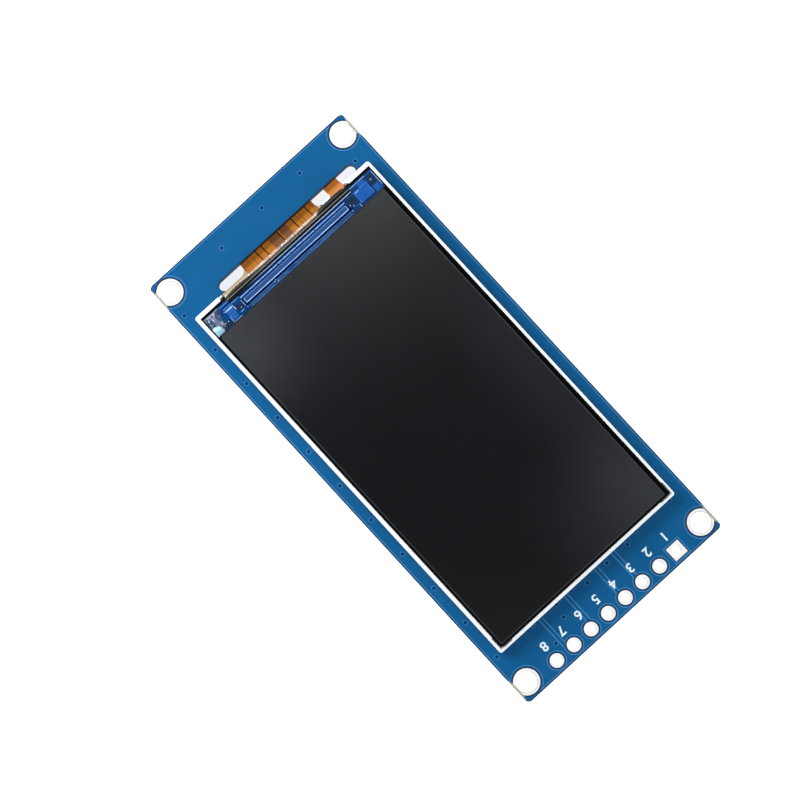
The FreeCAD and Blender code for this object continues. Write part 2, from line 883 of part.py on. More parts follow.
def write_backlight():
    save("mounting_tape", [mounting_tape()])
    save("reflector_film", [reflector_film()])
    save("backlight_frame", [backlight_frame()])
    save("light_guide", [light_guide()])
    save("diffuser_film", [film(z_diffuser, diffuser_thickness)])
    save("lower_prism_film", [film(z_lower_prism, prism_thickness)])
    save("upper_prism_film", [film(z_upper_prism, prism_thickness)])
    save("light_shield_tape", [light_shield_tape()])
    save("backlight_leds", backlight_leds())
    save("led_windows", [led_window(x) for x in evenly(led_count, led_pitch)])
    save("backlight_flex", [backlight_flex()])


def write_cell():
    save("rear_polarizer", [rear_polarizer()])
    save("array_glass", [array_glass()])
    save("colour_filter_glass", [colour_filter_glass()])
    save("front_polarizer", [front_polarizer()])
    save("driver_chip", [driver_chip()])
    save("display_flex", [display_flex()])
    save("bond_bead", [bond_bead()])
    save("corner_sealant", [corner_sealant()])


def write_back_parts():
    sot_places = [regulator_place, transistor_place]
    chip_places = capacitor_places + resistor_places
    save("flex_contact_pads", flex_contact_pads())
    save("flex_solder_joints", flex_solder_joints())
    save("regulator_body", [sot_body(regulator_place)])
    save("regulator_leads", sot_leads(regulator_place))
    save("backlight_transistor_body", [sot_body(transistor_place)])
    save("backlight_transistor_leads", sot_leads(transistor_place))
    save("lead_solder_joints", gather(sot_solder, sot_places))
    save("capacitor_bodies", [chip_body(place, capacitor_height) for place in capacitor_places])
    save("capacitor_terminals", gather(chip_terminals, capacitor_places, capacitor_height))
    save("resistor_bodies", [chip_body(place, resistor_height) for place in resistor_places])
    save("resistor_terminals", gather(chip_terminals, resistor_places, resistor_height))
    save("chip_solder_joints", gather(chip_solder, chip_places))
    save("back_part_pads", gather(sot_pads, sot_places) + gather(chip_pads, chip_places))


write_board()
write_backlight()
write_cell()
write_back_parts()
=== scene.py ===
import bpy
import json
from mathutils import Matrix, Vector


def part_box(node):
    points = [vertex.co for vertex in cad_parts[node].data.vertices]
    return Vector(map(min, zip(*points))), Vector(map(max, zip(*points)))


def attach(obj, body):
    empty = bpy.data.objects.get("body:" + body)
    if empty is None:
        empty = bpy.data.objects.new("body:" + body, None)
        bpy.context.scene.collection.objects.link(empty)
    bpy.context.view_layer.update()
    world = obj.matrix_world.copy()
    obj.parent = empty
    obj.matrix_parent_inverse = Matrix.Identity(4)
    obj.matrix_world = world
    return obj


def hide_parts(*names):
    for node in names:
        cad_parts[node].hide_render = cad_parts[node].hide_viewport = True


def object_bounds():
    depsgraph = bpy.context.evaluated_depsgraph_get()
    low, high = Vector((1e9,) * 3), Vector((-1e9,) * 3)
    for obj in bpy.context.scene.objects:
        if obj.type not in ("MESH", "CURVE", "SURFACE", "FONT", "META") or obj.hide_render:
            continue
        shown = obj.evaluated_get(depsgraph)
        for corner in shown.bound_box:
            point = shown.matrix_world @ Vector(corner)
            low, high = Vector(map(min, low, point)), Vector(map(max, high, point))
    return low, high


bl_info = {
    "name": "Display module",
    "version": (1, 0, 0),
    "blender": (4, 5, 0),
    "location": "3D View > Sidebar > Display module",
    "description": "Dresses a small colour display module: panel, board, flexes and stage",
    "category": "Object",
}

import json
import math
import random

import bmesh
import bpy
from bpy.props import FloatProperty, FloatVectorProperty, IntProperty, PointerProperty
from mathutils import Matrix, Vector

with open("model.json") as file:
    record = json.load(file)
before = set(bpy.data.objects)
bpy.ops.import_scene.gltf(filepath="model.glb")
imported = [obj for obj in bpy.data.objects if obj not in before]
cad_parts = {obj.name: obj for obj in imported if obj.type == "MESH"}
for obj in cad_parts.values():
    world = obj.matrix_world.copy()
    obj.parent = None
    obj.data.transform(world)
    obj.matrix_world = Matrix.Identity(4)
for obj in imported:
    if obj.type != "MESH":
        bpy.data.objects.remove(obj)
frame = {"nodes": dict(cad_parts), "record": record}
CAD_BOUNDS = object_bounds()

# Meshes are made in millimetres and brought to metres at the end.
MM = 0.001
BODY = "root"


def box_mm(node):
    """Lowest and highest corner of a node, in millimetres."""
    low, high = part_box(node)
    return low / MM, high / MM


BOARD_LOW, BOARD_HIGH = box_mm("circuit_board")
RIM_LOW, RIM_HIGH = box_mm("backlight_frame")
GLASS_LOW, GLASS_HIGH = box_mm("array_glass")
FILTER_HIGH = box_mm("colour_filter_glass")[1]
CHIP_LOW, CHIP_HIGH = box_mm("driver_chip")
FLEX_LOW, FLEX_HIGH = box_mm("display_flex")
TAIL_HIGH = box_mm("backlight_flex")[1]
BEAD_LOW, BEAD_HIGH = box_mm("bond_bead")
SEALANT_LOW, SEALANT_HIGH = box_mm("corner_sealant")

MOUNTS = {entry["name"]: entry for entry in frame["record"]["mounts"]}
HOLES = MOUNTS["mounting_holes"]["dims"]
HEADER = MOUNTS["header_holes"]
HOLE_X = HOLES["spacing_x_mm"] / 2
HOLE_Y = HOLES["spacing_y_mm"] / 2
HEADER_Y = HEADER["pos_m"][1] / MM
HEADER_PITCH = HEADER["dims"]["spacing_x_mm"]
HEADER_COUNT = HEADER["dims"]["count"]


def srgb(red, green, blue):
    """A colour given as it is seen on a screen, 0 to 255, as linear light."""
    def linear(value):
        share = value / 255
        return share / 12.92 if share <= 0.04045 else ((share + 0.055) / 1.055) ** 2.4
    return (linear(red), linear(green), linear(blue), 1.0)


def length(text, default):
    """A size in millimetres."""
    return FloatProperty(description=text, default=default, precision=3)


def colour(text, *default):
    """A surface colour, as it is seen on a screen."""
    return FloatVectorProperty(
        description=text, default=srgb(*default), size=4, min=0, max=1, subtype="COLOR",
    )


def number(text, default):
    """A plain number."""
    return FloatProperty(description=text, default=default)


def count(text, default):
    """A number of things."""
    return IntProperty(description=text, default=default)


def angle(text, degrees):
    """An angle."""
    return FloatProperty(description=text, default=math.radians(degrees), subtype="ANGLE")


# Settings

class StageSettings(bpy.types.PropertyGroup):
    """Camera, lights and floor."""
    lens: length("Focal length, in millimetres", 180.0)
    sensor: length("Sensor width, in millimetres", 36.0)
    distance: length("From the camera to the board, in millimetres", 438.84)
    shift_x: length("Board's centre right of the picture's, in millimetres", 3.766)
    shift_y: length("Board's centre above the picture's, in millimetres", -0.744)
    turn: angle("Board's turn in the picture", 42.52)
    tilt_x: angle("Lean about the picture's width", -3.717)
    tilt_y: angle("Lean about the picture's height", -1.450)
    floor_size: length("Side of the floor, in millimetres", 4000.0)
    floor_roughness: number("Roughness of the floor", 0.9)
    floor_glow: number("Light that the floor gives off", 0.75)
    sky: number("Strength of the light all round", 0.60)
    overhead: number("Strength of the light straight above", 0.14)
    dim_from: number("Height in the sky where the light starts to dim, of 1", 0.72)
    dim_to: number("Height in the sky where it is dimmest, of 1", 0.94)
    fill_power: number("Power of the soft light past the header end", 0.15)
    key_power: number("Power of the wall of light past the flex end", 0.56)


class BoardSettings(bpy.types.PropertyGroup):
    """Solder mask, copper relief and print."""
    mask: colour("Blue solder mask on copper", 9, 86, 136)
    mask_bare: colour("Blue solder mask with no copper under it", 6, 88, 146)
    # Partly painted highlight: the thin mask along the copper's edge is coloured lighter than the mask round
    # it.
    mask_line: colour("Thin mask running down the copper's edge", 66, 132, 184)
    laminate: colour("Bare glass-epoxy at the board's edge", 176, 172, 146)
    laminate_edge: colour("Cut edge of the board", 178, 172, 132)
    laminate_layer: colour("Layers in the cut edge", 150, 144, 100)
    # Painted shade: the laminate seen in narrow openings on the faces and on the slot's and holes' walls is
    # dark.
    laminate_dark: colour("Bare glass-epoxy inside the board", 6, 34, 62)
    ink: colour("White print", 226, 244, 248)
    edge_depth: length("How deep the look of the cut edge reaches", 0.10)
    corner_depth: length("The same at a corner, along both edges together", 0.80)
    strip: length("Bare laminate between a mounting pad and the long edge", 0.24)
    strip_half: length("Half the length of that laminate", 1.4)
    corner: length("Radius of the board's corners", 0.60)
    mask_height: length("Mask over bare laminate", 0.016)
    line_height: length("Mask running down the copper's edge", 0.026)
    pour_height: length("Mask over copper", 0.036)
    edge_line: length("Width of the mask that runs down the copper's edge", 0.075)
    slot_margin: length("Mask's edge from the slot's edge", 0.07)
    slot_pour: length("Copper's edge from the slot's edge, on the back", 0.22)
    mask_inset: length("Mask's edge from the board's edge", 0.13)
    pour_inset: length("Copper's edge from the board's edge", 0.27)
    mount_opening: length("Radius of the mask opening round a mounting pad", 1.68)
    mount_clearance: length("Radius where the copper pour starts", 1.83)
    pad_opening: length("Mask's edge from the pads on the back", 0.06)
    back_channel: length("Half the gap in the copper that a back track runs in", 0.15)
    back_track: length("Half the width of a back track", 0.07)
    contact_clearance: length("Copper pour from the flex's contacts", 0.18)
    part_reach: length("Largest gap between the two ends of one small part", 2.0)
    track_bend: length("Size of a track's slanted corners", 0.28)
    track_first: length("Nearest back track from the contacts", 0.69)
    track_step: length("From one back track to the next", 0.34)
    track_turn: length("Where the first back track turns to the header holes", -23.4)
    header_opening: length("Radius of the mask opening round a header pad", 0.98)
    header_clearance: length("Radius where the copper pour starts", 1.11)
    square_half: length("Half the side of the first pad", 0.85)
    mount_hole: length("Radius inside the plating", 1.20)
    header_hole: length("Radius inside the plating", 0.50)
    lip: length("Radius of the lip round a plated hole", 0.022)
    channel_half: length("Half the width of the gap that a track runs in", 0.28)
    track_half: length("Half the width of a track", 0.165)
    slot_x: length("Middle of the slot", 1.40)
    slot_length: length("Along the board's end", 20.03)
    slot_width: length("Across", 1.25)
    slot_gap: length("From the panel's end to the slot", 0.03)
    via_hole: length("Radius of a filled via", 0.15)
    via_ring: length("Radius of its raised ring", 0.27)
    via_wire: length("Radius of the ring's section", 0.022)
    via_height: length("Thickness of the filling", 0.008)
    via_pitch: length("Along the left edge", 5.08)
    via_count: count("Vias along the left edge", 11)
    digit_height: length("Size of the pin numbers", 1.52)
    digit_weight: length("How far the strokes of the numbers are thickened", 0.035)
    back_digit: number("Size of the numbers on the back, of those on the front", 0.8)
    back_weight: length("How far the strokes on the back are thickened", 0.015)
    outline_width: length("Width of the printed outlines", 0.12)
    outline_lift: length("Printed outlines above the mask", 0.012)
    print_height: length("Thickness of the white print, each way from its middle", 0.006)
    print_lift: length("Middle of the numbers above the mask", 0.004)
    digit_y: length("Middle of the pin numbers along the board", -27.42)
    relief_edge: length("Rounding at the edges of the copper", 0.004)
    print_edge: length("Rounding at the edges of the print, and how far it sinks in", 0.002)
    part_bevel: length("Rounding of the moulded parts", 0.05)


class PanelSettings(bpy.types.PropertyGroup):
    """Frame, glasses and polarizer."""
    rim: colour("White moulded frame", 238, 242, 244)
    face: colour("Front polarizer", 9, 11, 15)
    face_edge: colour("Cut edge of the polarizer", 96, 102, 108)
    ledge: colour("Glass over metal tracks", 2, 48, 104)
    ledge_bright: colour("Tracks on the ledge", 40, 92, 176)
    silicon: colour("Bare silicon", 38, 80, 134)
    rim_bevel: length("Rounding of the frame's edges", 0.05)
    # Painted shade: the frame's low walls are painted black this far past the glass, so the gap beside the
    # glass reads dark.
    shade_reach: length("Black shading past the glass's sides", 0.19)
    shade_reach_y: length("Black shading past the glass's end", 0.36)
    face_margin: length("Glass left open past the front polarizer's sides", 0.10)
    face_line: length("Width of the paler line along the polarizer's cut edge", 0.11)
    border: length("Black border of the filter glass", 0.40)
    glass_bevel: length("Ground edge of the glasses", 0.03)
    chip_bevel: length("Rounding of the chip", 0.025)
    track_count: count("Tracks between chip and panel", 150)
    track_width: length("Width of a track on the ledge", 0.045)
    track_height: length("Height of a track on the ledge", 0.004)
    track_inset: length("First and last track from the chip's sides", 0.1)
    speck: length("Side of a bright speck on the ledge", 0.09)


class FlexSettings(bpy.types.PropertyGroup):
    """Flexes, bead and sealant."""
    film: colour("Amber film with no copper under it", 62, 32, 14)
    copper: colour("Amber film over copper", 158, 98, 36)
    backlight_copper: colour("Amber film over copper, narrow tail", 180, 110, 50)
    bend_radius: length("Of each bend's middle line", 0.45)
    thickness: length("Of both flexes", 0.10)
    bend_start: length("First bend past the glass's end", 0.09)
    slot_clearance: length("Flex from the slot's far wall", 0.06)
    finger_half: length("Half the finger's width", 5.275)
    centre_x: length("Middle of the display flex", 0.13)
    relief: length("Height of the copper under the film", 0.006)
    contact_pitch: length("From one contact of the wide flex to the next", 0.8)
    finger_start: length("Copper on the finger, past the first bend's start", 0.30)
    copper_start: length("Raised copper of the display flex, before the bend", 0.35)
    tail_start: length("Raised copper of the backlight flex, before its bend", 0.3)
    copper_end: length("Raised copper from the flex's end", 0.05)
    tail_bend: length("The backlight flex's bend before the frame's end", 0.26)
    contact_place: length("Middle of a bare contact from its pad's end", 0.30)
    contact_length: length("Length of a bare contact", 0.56)
    contact_height: length("Thickness of a bare contact", 0.006)
    contact_drop: length("Bare contact below the flex", 0.004)
    back_gap: number("Half the bare film beside a track, in pitches", 0.14)
    # Painted highlight band along the display flex's first bend.
    shine_place: length("Pale band past the start of the bend", 0.20)
    shine_width: length("Half the width of the pale band", 0.17)
    shine_core: number("Share of the pale band that has its full strength", 0.6)
    shine_strength: number("How much of the film the pale band hides", 0.85)
    # Painted glow: the films give off light, standing in for light that comes through them.
    glow: number("Light that comes through the film", 0.72)
    shade: number("Share of the light that the film sends back", 0.5)
    # Painted highlight: the wide root's film is coloured pale for the light off it.
    root: colour("Pale film of the wide root", 168, 148, 112)
    # Painted highlights on the bead: a grey line along its crest and a light line along its foot.
    crest: colour("Dull grey crest of the bead", 118, 120, 112)
    crest_way: length("Crest of the bead from the flex's edge", 0.38)
    crest_half: length("Half the width of the grey crest", 0.07)
    crest_core: number("Share of the crest that is fully grey", 0.4)
    foot_line: length("Width of the light line along the bead's foot", 0.08)
    foot_light: colour("Light line along the bead's foot", 196, 214, 244)
    foot_from: length("Where the light line fades in, from the bead's left end", 1.8)
    foot_full: length("Where the light line is full, from the bead's left end", 6.0)
    left_swell: length("How far the bead swells near its left end", 0.27)
    left_place: length("Middle of the left swelling from the bead's end", 1.8)
    left_half: length("Half the length of the left swelling", 2.4)
    right_swell: length("How far the bead swells near its right end", 0.58)
    lump_back: length("Middle of the right swelling from the bead's end", 2.05)
    lump_half: length("Half the length of the right swelling", 2.0)
    bead_foot: length("Bead's edge from the flex's edge", -0.03)
    bead_past: length("How far the bead runs past both ends of its bond", 0.24)
    bead_height: length("Thickness of the black bead", 0.11)
    sealant_height: length("Height of the clear drop", 0.21)
    bead: colour("Black bead", 10, 11, 13)
    # Colour of the painted reflection at the sealant's thick corner.
    sealant: colour("Thick corner of the sealant", 196, 226, 236)


SETTINGS = {
    "display_stage": StageSettings,
    "display_board": BoardSettings,
    "display_panel": PanelSettings,
    "display_flex": FlexSettings,
}


def board_settings():
    return bpy.context.scene.display_board


def panel_settings():
    return bpy.context.scene.display_panel


def flex_settings():
    return bpy.context.scene.display_flex


# Node building blocks

def feed(tree, socket, value):
    """Links a socket to another or to a node's first output, or sets it."""
    if isinstance(value, bpy.types.Node):
        value = value.outputs[0]
    if isinstance(value, bpy.types.NodeSocket):
        tree.links.new(value, socket)
    else:
        socket.default_value = value


def add(tree, kind, inputs=None, **options):
    """Adds a node, sets its options and feeds its inputs by name or place."""
    node = tree.nodes.new(kind)
    for key, value in options.items():
        setattr(node, key, value)
    for key, value in (inputs or {}).items():
        feed(tree, node.inputs[key], value)
    return node


SIGNS = {
    "*": "MULTIPLY", "/": "DIVIDE", "+": "ADD", "-": "SUBTRACT", "^": "POWER", ">": "GREATER_THAN",
    "<": "LESS_THAN", "max": "MAXIMUM", "abs": "ABSOLUTE", "fract": "FRACT",
}


def calc(tree, sign, first, second=0.0, clamp=False):
    """One step of arithmetic."""
    return add(tree, "ShaderNodeMath", {0: first, 1: second}, operation=SIGNS[sign], use_clamp=clamp)


def blend(tree, factor, first, second, blend_type="MIX"):
    """Mixes two colours by a factor."""
    node = add(tree, "ShaderNodeMix", data_type="RGBA", blend_type=blend_type)
    feed(tree, node.inputs[0], factor)
    feed(tree, node.inputs[6], first)
    feed(tree, node.inputs[7], second)
    return node.outputs[2]


def ranged(tree, value, low, high, to_low=0.0, to_high=1.0):
    """Maps a stretch of values smoothly onto another."""
    return add(
        tree, "ShaderNodeMapRange",
        {"Value": value, "From Min": low, "From Max": high, "To Min": to_low, "To Max": to_high},
        interpolation_type="SMOOTHSTEP",
    )


def noise(tree, vector, scale, detail=3.0, roughness=0.55):
    """Even noise, 0 to 1."""
    return add(
        tree, "ShaderNodeTexNoise",
        {"Vector": vector, "Scale": scale, "Detail": detail, "Roughness": roughness},
    )


def object_point(tree):
    """The point on the object, in millimetres."""
    coordinates = add(tree, "ShaderNodeTexCoord")
    return add(
        tree, "ShaderNodeVectorMath", {0: coordinates.outputs["Object"], "Scale": 1 / MM}, operation="SCALE",
    )


def new_socket(tree, name, in_out, default):
    """A named socket of a group: a colour or a number, by its default."""
    kind = "NodeSocketColor" if isinstance(default, tuple) else "NodeSocketFloat"
    socket = tree.interface.new_socket(name, in_out=in_out, socket_type=kind)
    socket.default_value = default


def new_group(name, inputs, outputs):
    """An empty shader group with its named sockets."""
    group = bpy.data.node_groups.new(name, "ShaderNodeTree")
    for in_out, sockets in (("INPUT", inputs), ("OUTPUT", outputs)):
        for socket_name, default in sockets.items():
            new_socket(group, socket_name, in_out, default)
    return group, add(group, "NodeGroupInput"), add(group, "NodeGroupOutput")


def group_once(name, build):
    """Builds a shader group the first time that it is asked for."""
    return bpy.data.node_groups.get(name) or build(name)


GREY = (0.5, 0.5, 0.5, 1)

# The mottle's fine noise: its share and how much finer it is; its specks of dust
FINE_SHARE = 0.3
FINER = 9.0
DUST_COLOUR = (0.75, 0.78, 0.80, 1)
DUST_DENSITY = 1.7
DUST_SIZE = 0.035


def build_mottle(name):
    """Slow and fine colour changes over a surface, with a few fine specks of dust."""
    group, given, result = new_group(
        name,
        {
            "Colour": GREY, "Other": GREY, "Base": GREY,
            "Tint": 0.0, "Scale": 0.3, "Amount": 0.5, "Dust": 0.0,
        },
        {"Colour": GREY},
    )
    point = object_point(group)
    wide = noise(group, point, given.outputs["Scale"])
    fine = noise(group, point, calc(group, "*", given.outputs["Scale"], FINER), 2.0)
    both = calc(group, "+", calc(group, "*", wide, 1 - FINE_SHARE), calc(group, "*", fine, FINE_SHARE))
    factor = calc(group, "*", ranged(group, both, 0.35, 0.65), given.outputs["Amount"])
    plain = blend(group, factor, given.outputs["Colour"], given.outputs["Other"])
    ratio = blend(group, 1.0, given.outputs["Other"], given.outputs["Base"], "DIVIDE")
    turned = blend(group, 1.0, given.outputs["Colour"], ratio, "MULTIPLY")
    tinted = blend(group, factor, given.outputs["Colour"], turned)
    mixed = blend(group, given.outputs["Tint"], plain, tinted)
    specks = add(group, "ShaderNodeTexVoronoi", {"Vector": point, "Scale": DUST_DENSITY})
    dusty = calc(group, "*", calc(group, "<", specks, DUST_SIZE), given.outputs["Dust"])
    feed(group, result.inputs["Colour"], blend(group, dusty, mixed, DUST_COLOUR))
    return group


def build_grain(name):
    """Roughness and relief: a fine grain, a slow unevenness and faint scratches."""
    group, given, result = new_group(
        name,
        {"Roughness": 0.4, "Spread": 0.1, "Grain": 12.0, "Scratches": 0.2},
        {"Roughness": 0.0, "Height": 0.0},
    )
    point = object_point(group)
    grain = noise(group, point, given.outputs["Grain"], 2.0)
    slow = noise(group, point, 0.6, 2.0)
    stretched = add(
        group, "ShaderNodeMapping", {"Vector": point, "Rotation": (0, 0, 0.9), "Scale": (9, 0.35, 4)},
    )
    lines = noise(group, stretched, 1.3, 4.0, 0.7)
    scratches = calc(group, "*", ranged(group, lines, 0.66, 0.72), given.outputs["Scratches"])
    change = calc(group, "*", calc(group, "-", slow, 0.5), given.outputs["Spread"])
    rough = calc(group, "+", calc(group, "+", given.outputs["Roughness"], change), scratches, clamp=True)
    feed(group, result.inputs["Roughness"], rough)
    feed(group, result.inputs["Height"], calc(group, "-", grain, scratches))
    return group


def use_group(tree, name, build, **values):
    """Places a shared group with its own values; underscores in the names stand for spaces."""
    node = add(tree, "ShaderNodeGroup", node_tree=group_once(name, build))
    for key, value in values.items():
        feed(tree, node.inputs[key.replace("_", " ")], value)
    return node


def new_material(name):
    """A material with only its Principled shader."""
    material = bpy.data.materials.new(name)
    material.use_nodes = True
    tree = material.node_tree
    tree.nodes.clear()
    shader = add(tree, "ShaderNodeBsdfPrincipled")
    add(tree, "ShaderNodeOutputMaterial", {"Surface": shader})
    return material, tree, shader


# How much lighter a finish's second colour is, where none is given
LIGHTER = 1.35


def surface(name, base, other=None, scale=0.3, amount=0.5, dust=0.0, rough=0.4, spread=0.1,
            grain=12.0, scratches=0.05, bump=0.002, paint=None, **plain):
    """A finish: mottled colour, uneven roughness and a fine relief; plain values go on the shader itself."""
    material, tree, shader = new_material(name)
    second = other or tuple(min(1.0, part * LIGHTER) for part in base[:3]) + (1,)
    start = paint(tree, base) if paint else base
    mottle = use_group(
        tree, "Mottled colour", build_mottle,
        Colour=start, Other=second, Scale=scale, Amount=amount, Dust=dust,
        Tint=1.0 if paint else 0.0, Base=base,
    )
    relief = use_group(
        tree, "Grain and scratches", build_grain,
        Roughness=rough, Spread=spread, Grain=grain, Scratches=scratches,
    )
    feed(tree, shader.inputs["Base Color"], mottle.outputs["Colour"])
    feed(tree, shader.inputs["Roughness"], relief.outputs["Roughness"])
    raised = add(tree, "ShaderNodeBump", {"Height": relief.outputs["Height"], "Distance": bump * MM})
    feed(tree, shader.inputs["Normal"], raised.outputs["Normal"])
    for key, value in plain.items():
        shader.inputs[key.replace("_", " ")].default_value = value
    return material


def point_part(tree, axis):
    """One coordinate of the point, in millimetres."""
    parts = add(tree, "ShaderNodeSeparateXYZ", {"Vector": object_point(tree)})
    return parts.outputs[axis]


def away_from(tree, axis, middle):
    """How far the point lies from a place on an axis, either way, in millimetres."""
    return calc(tree, "abs", calc(tree, "-", point_part(tree, axis), middle))


def all_of(tree, first, *others):
    """Where every mask is set."""
    for other in others:
        first = calc(tree, "*", first, other)
    return first


# Finishes

def mask_finish(name):
    """Blue solder mask, lighter where no copper lies under it."""
    board = board_settings()
    low = BOARD_LOW.z
    high = BOARD_HIGH.z

    def paint(tree, base):
        middle = (low + high) / 2
        above = calc(tree, "-", away_from(tree, "Z", middle), (high - low) / 2)
        copper = calc(tree, ">", above, (board.line_height + board.pour_height) / 2)
        line = calc(tree, ">", above, (board.mask_height + board.line_height) / 2)
        # Thin mask along the copper's edge, made lighter by a painted highlight.
        below = blend(tree, line, board.mask_bare, board.mask_line)
        return blend(tree, copper, below, base)

    return surface(
        name, board.mask, srgb(12, 94, 150), scale=0.11, amount=0.5, rough=0.34, spread=0.16,
        grain=5.0, scratches=0.08, bump=0.003, paint=paint,
        Specular_IOR_Level=0.2, Coat_Weight=0.14, Coat_Roughness=0.22,
    )


# How near to a plane a point counts as lying on it, in millimetres
TOUCH = 0.01


def laminate_finish():
    """Glass-epoxy: layers on its outer edges, painted shade on its face and in its slot and holes, tan by the
    mounting pads.
    """
    board = board_settings()
    outer = BOARD_HIGH.x + BOARD_HIGH.y - board.corner_depth

    def paint(tree, base):
        layers = add(
            tree, "ShaderNodeTexWave",
            {"Vector": object_point(tree), "Scale": 1.35, "Distortion": 1.4, "Detail": 3.0},
            wave_type="BANDS", bands_direction="Z",
        )
        edge = blend(tree, layers.outputs["Fac"], base, board.laminate_layer)
        away_x = calc(tree, "abs", point_part(tree, "X"))
        away_y = calc(tree, "abs", point_part(tree, "Y"))
        away_z = away_from(tree, "Z", BOARD_HIGH.z / 2)
        face = calc(tree, ">", away_z, BOARD_HIGH.z / 2 - TOUCH)
        in_x = calc(tree, "<", away_x, BOARD_HIGH.x - board.edge_depth)
        in_y = calc(tree, "<", away_y, BOARD_HIGH.y - board.edge_depth)
        in_corner = calc(tree, "<", calc(tree, "+", away_x, away_y), outer)
        dark = calc(tree, "max", face, all_of(tree, in_x, in_y, in_corner))
        beside = calc(tree, ">", away_x, BOARD_HIGH.x - board.strip)
        from_hole = calc(tree, "abs", calc(tree, "-", away_y, HOLE_Y))
        near = calc(tree, "<", from_hole, board.strip_half)
        strip = all_of(tree, face, beside, near)
        # Painted shade on the faces and inner walls.
        plain = blend(tree, dark, edge, board.laminate_dark)
        return blend(tree, strip, plain, board.laminate)

    return surface(
        "laminate", board.laminate_edge, srgb(120, 150, 160), scale=1.4, amount=0.25, rough=0.6,
        grain=9.0, bump=0.006, paint=paint,
    )


def metal_finish(name, base, rough):
    """Tinned copper or solder, bright and a little dull."""
    return surface(
        name, base, (0.70, 0.71, 0.73, 1), scale=1.2, amount=0.35, rough=rough, spread=0.25, grain=6.0,
        scratches=0.15, bump=0.006, Metallic=0.12,
    )


# Painted reflection that grows towards the ledge: from and to along Y, how late it grows and its strength
LEDGE_SHEEN = ((-2.0, 19.6), 2.2, 0.16)

# Parts of the polarizer with painted reflection, from none to full along X and along Y, and their strength
SHEEN_PARTS = [
    ((-3.0, -12.4), (8.0, 19.6), 0.56), ((4.0, 12.4), (12.0, 0.0), 0.18), ((-4.0, 12.4), (-10.0, -24.0), 0.5),
]


def painted_face_sheen(tree):
    """How much painted reflection the polarizer gets: most near the ledge and at its left corner, less along
    the right side.
    """
    x = point_part(tree, "X")
    y = point_part(tree, "Y")
    span, delay, strength = LEDGE_SHEEN
    sheen = calc(tree, "*", calc(tree, "^", ranged(tree, y, *span), delay), strength)
    for along_x, along_y, strength in SHEEN_PARTS:
        part = calc(tree, "*", ranged(tree, x, *along_x), ranged(tree, y, *along_y, 0.0, strength))
        sheen = calc(tree, "+", sheen, part)
    return sheen


def border_mask(tree, node, width):
    """Where a point lies near a plate's sides or lower end."""
    low, high = box_mm(node)
    aside = away_from(tree, "X", (low.x + high.x) / 2)
    beside = calc(tree, ">", aside, (high.x - low.x) / 2 - width)
    below = calc(tree, "<", point_part(tree, "Y"), low.y + width)
    return calc(tree, "max", beside, below)


def face_finish():
    """Dark anti-glare polarizer with a painted reflection over parts of it and a paler cut edge."""
    panel = panel_settings()

    def paint(tree, base):
        # Painted reflection: lighter grey where the polarizer would mirror the lights.
        sheened = blend(tree, painted_face_sheen(tree), base, srgb(54, 57, 62))
        edge = border_mask(tree, "front_polarizer", panel.face_margin + panel.face_line)
        return blend(tree, edge, sheened, srgb(50, 53, 57))

    return surface(
        "polarizer_face", panel.face, srgb(12, 14, 18), scale=0.07, amount=0.6, rough=0.34,
        spread=0.01, grain=22.0, scratches=0.06, bump=0.0015, paint=paint, Specular_IOR_Level=0.30,
    )


def border_finish():
    """Filter glass: grey towards the ledge, black along the border of its sides and lower end."""
    def paint(tree, base):
        edge = border_mask(tree, "colour_filter_glass", panel_settings().border)
        return blend(tree, edge, base, srgb(5, 6, 8))

    return surface(
        "border_glass", srgb(38, 41, 45), srgb(50, 54, 60), scale=0.6, rough=0.12, grain=18.0, bump=0.0008,
        paint=paint, Specular_IOR_Level=0.06,
    )


def ledge_finish():
    """Glass over metal tracks: deep blue with fine bands along the glass."""
    def paint(tree, base):
        stretched = add(tree, "ShaderNodeMapping", {"Vector": object_point(tree), "Scale": (0.25, 5.0, 1.0)})
        bands = noise(tree, stretched, 1.6, 4.0, 0.6)
        return blend(tree, ranged(tree, bands, 0.45, 0.62), base, srgb(4, 74, 142))

    return surface(
        "ledge_glass", panel_settings().ledge, srgb(0, 46, 92), scale=0.8, amount=0.6, rough=0.25,
        spread=0.12, grain=14.0, scratches=0.05, bump=0.001, paint=paint, Specular_IOR_Level=0.12,
    )


def chip_finish():
    """Polished silicon with faint circuit bands."""
    def paint(tree, base):
        grid = add(tree, "ShaderNodeMapping", {"Vector": object_point(tree), "Scale": (4.0, 9.0, 1.0)})
        cells = add(
            tree, "ShaderNodeTexBrick",
            {
                "Vector": grid, "Color1": base, "Color2": srgb(46, 94, 150),
                "Mortar": srgb(22, 50, 104), "Scale": 1.0, "Mortar Size": 0.03,
            },
        )
        return cells.outputs["Color"]

    return surface(
        "chip_silicon", panel_settings().silicon, srgb(50, 78, 136), scale=0.5, amount=0.4, rough=0.24,
        spread=0.1, grain=30.0, bump=0.0008, paint=paint, Metallic=0.1, Coat_Weight=0.2, Coat_Roughness=0.08,
    )


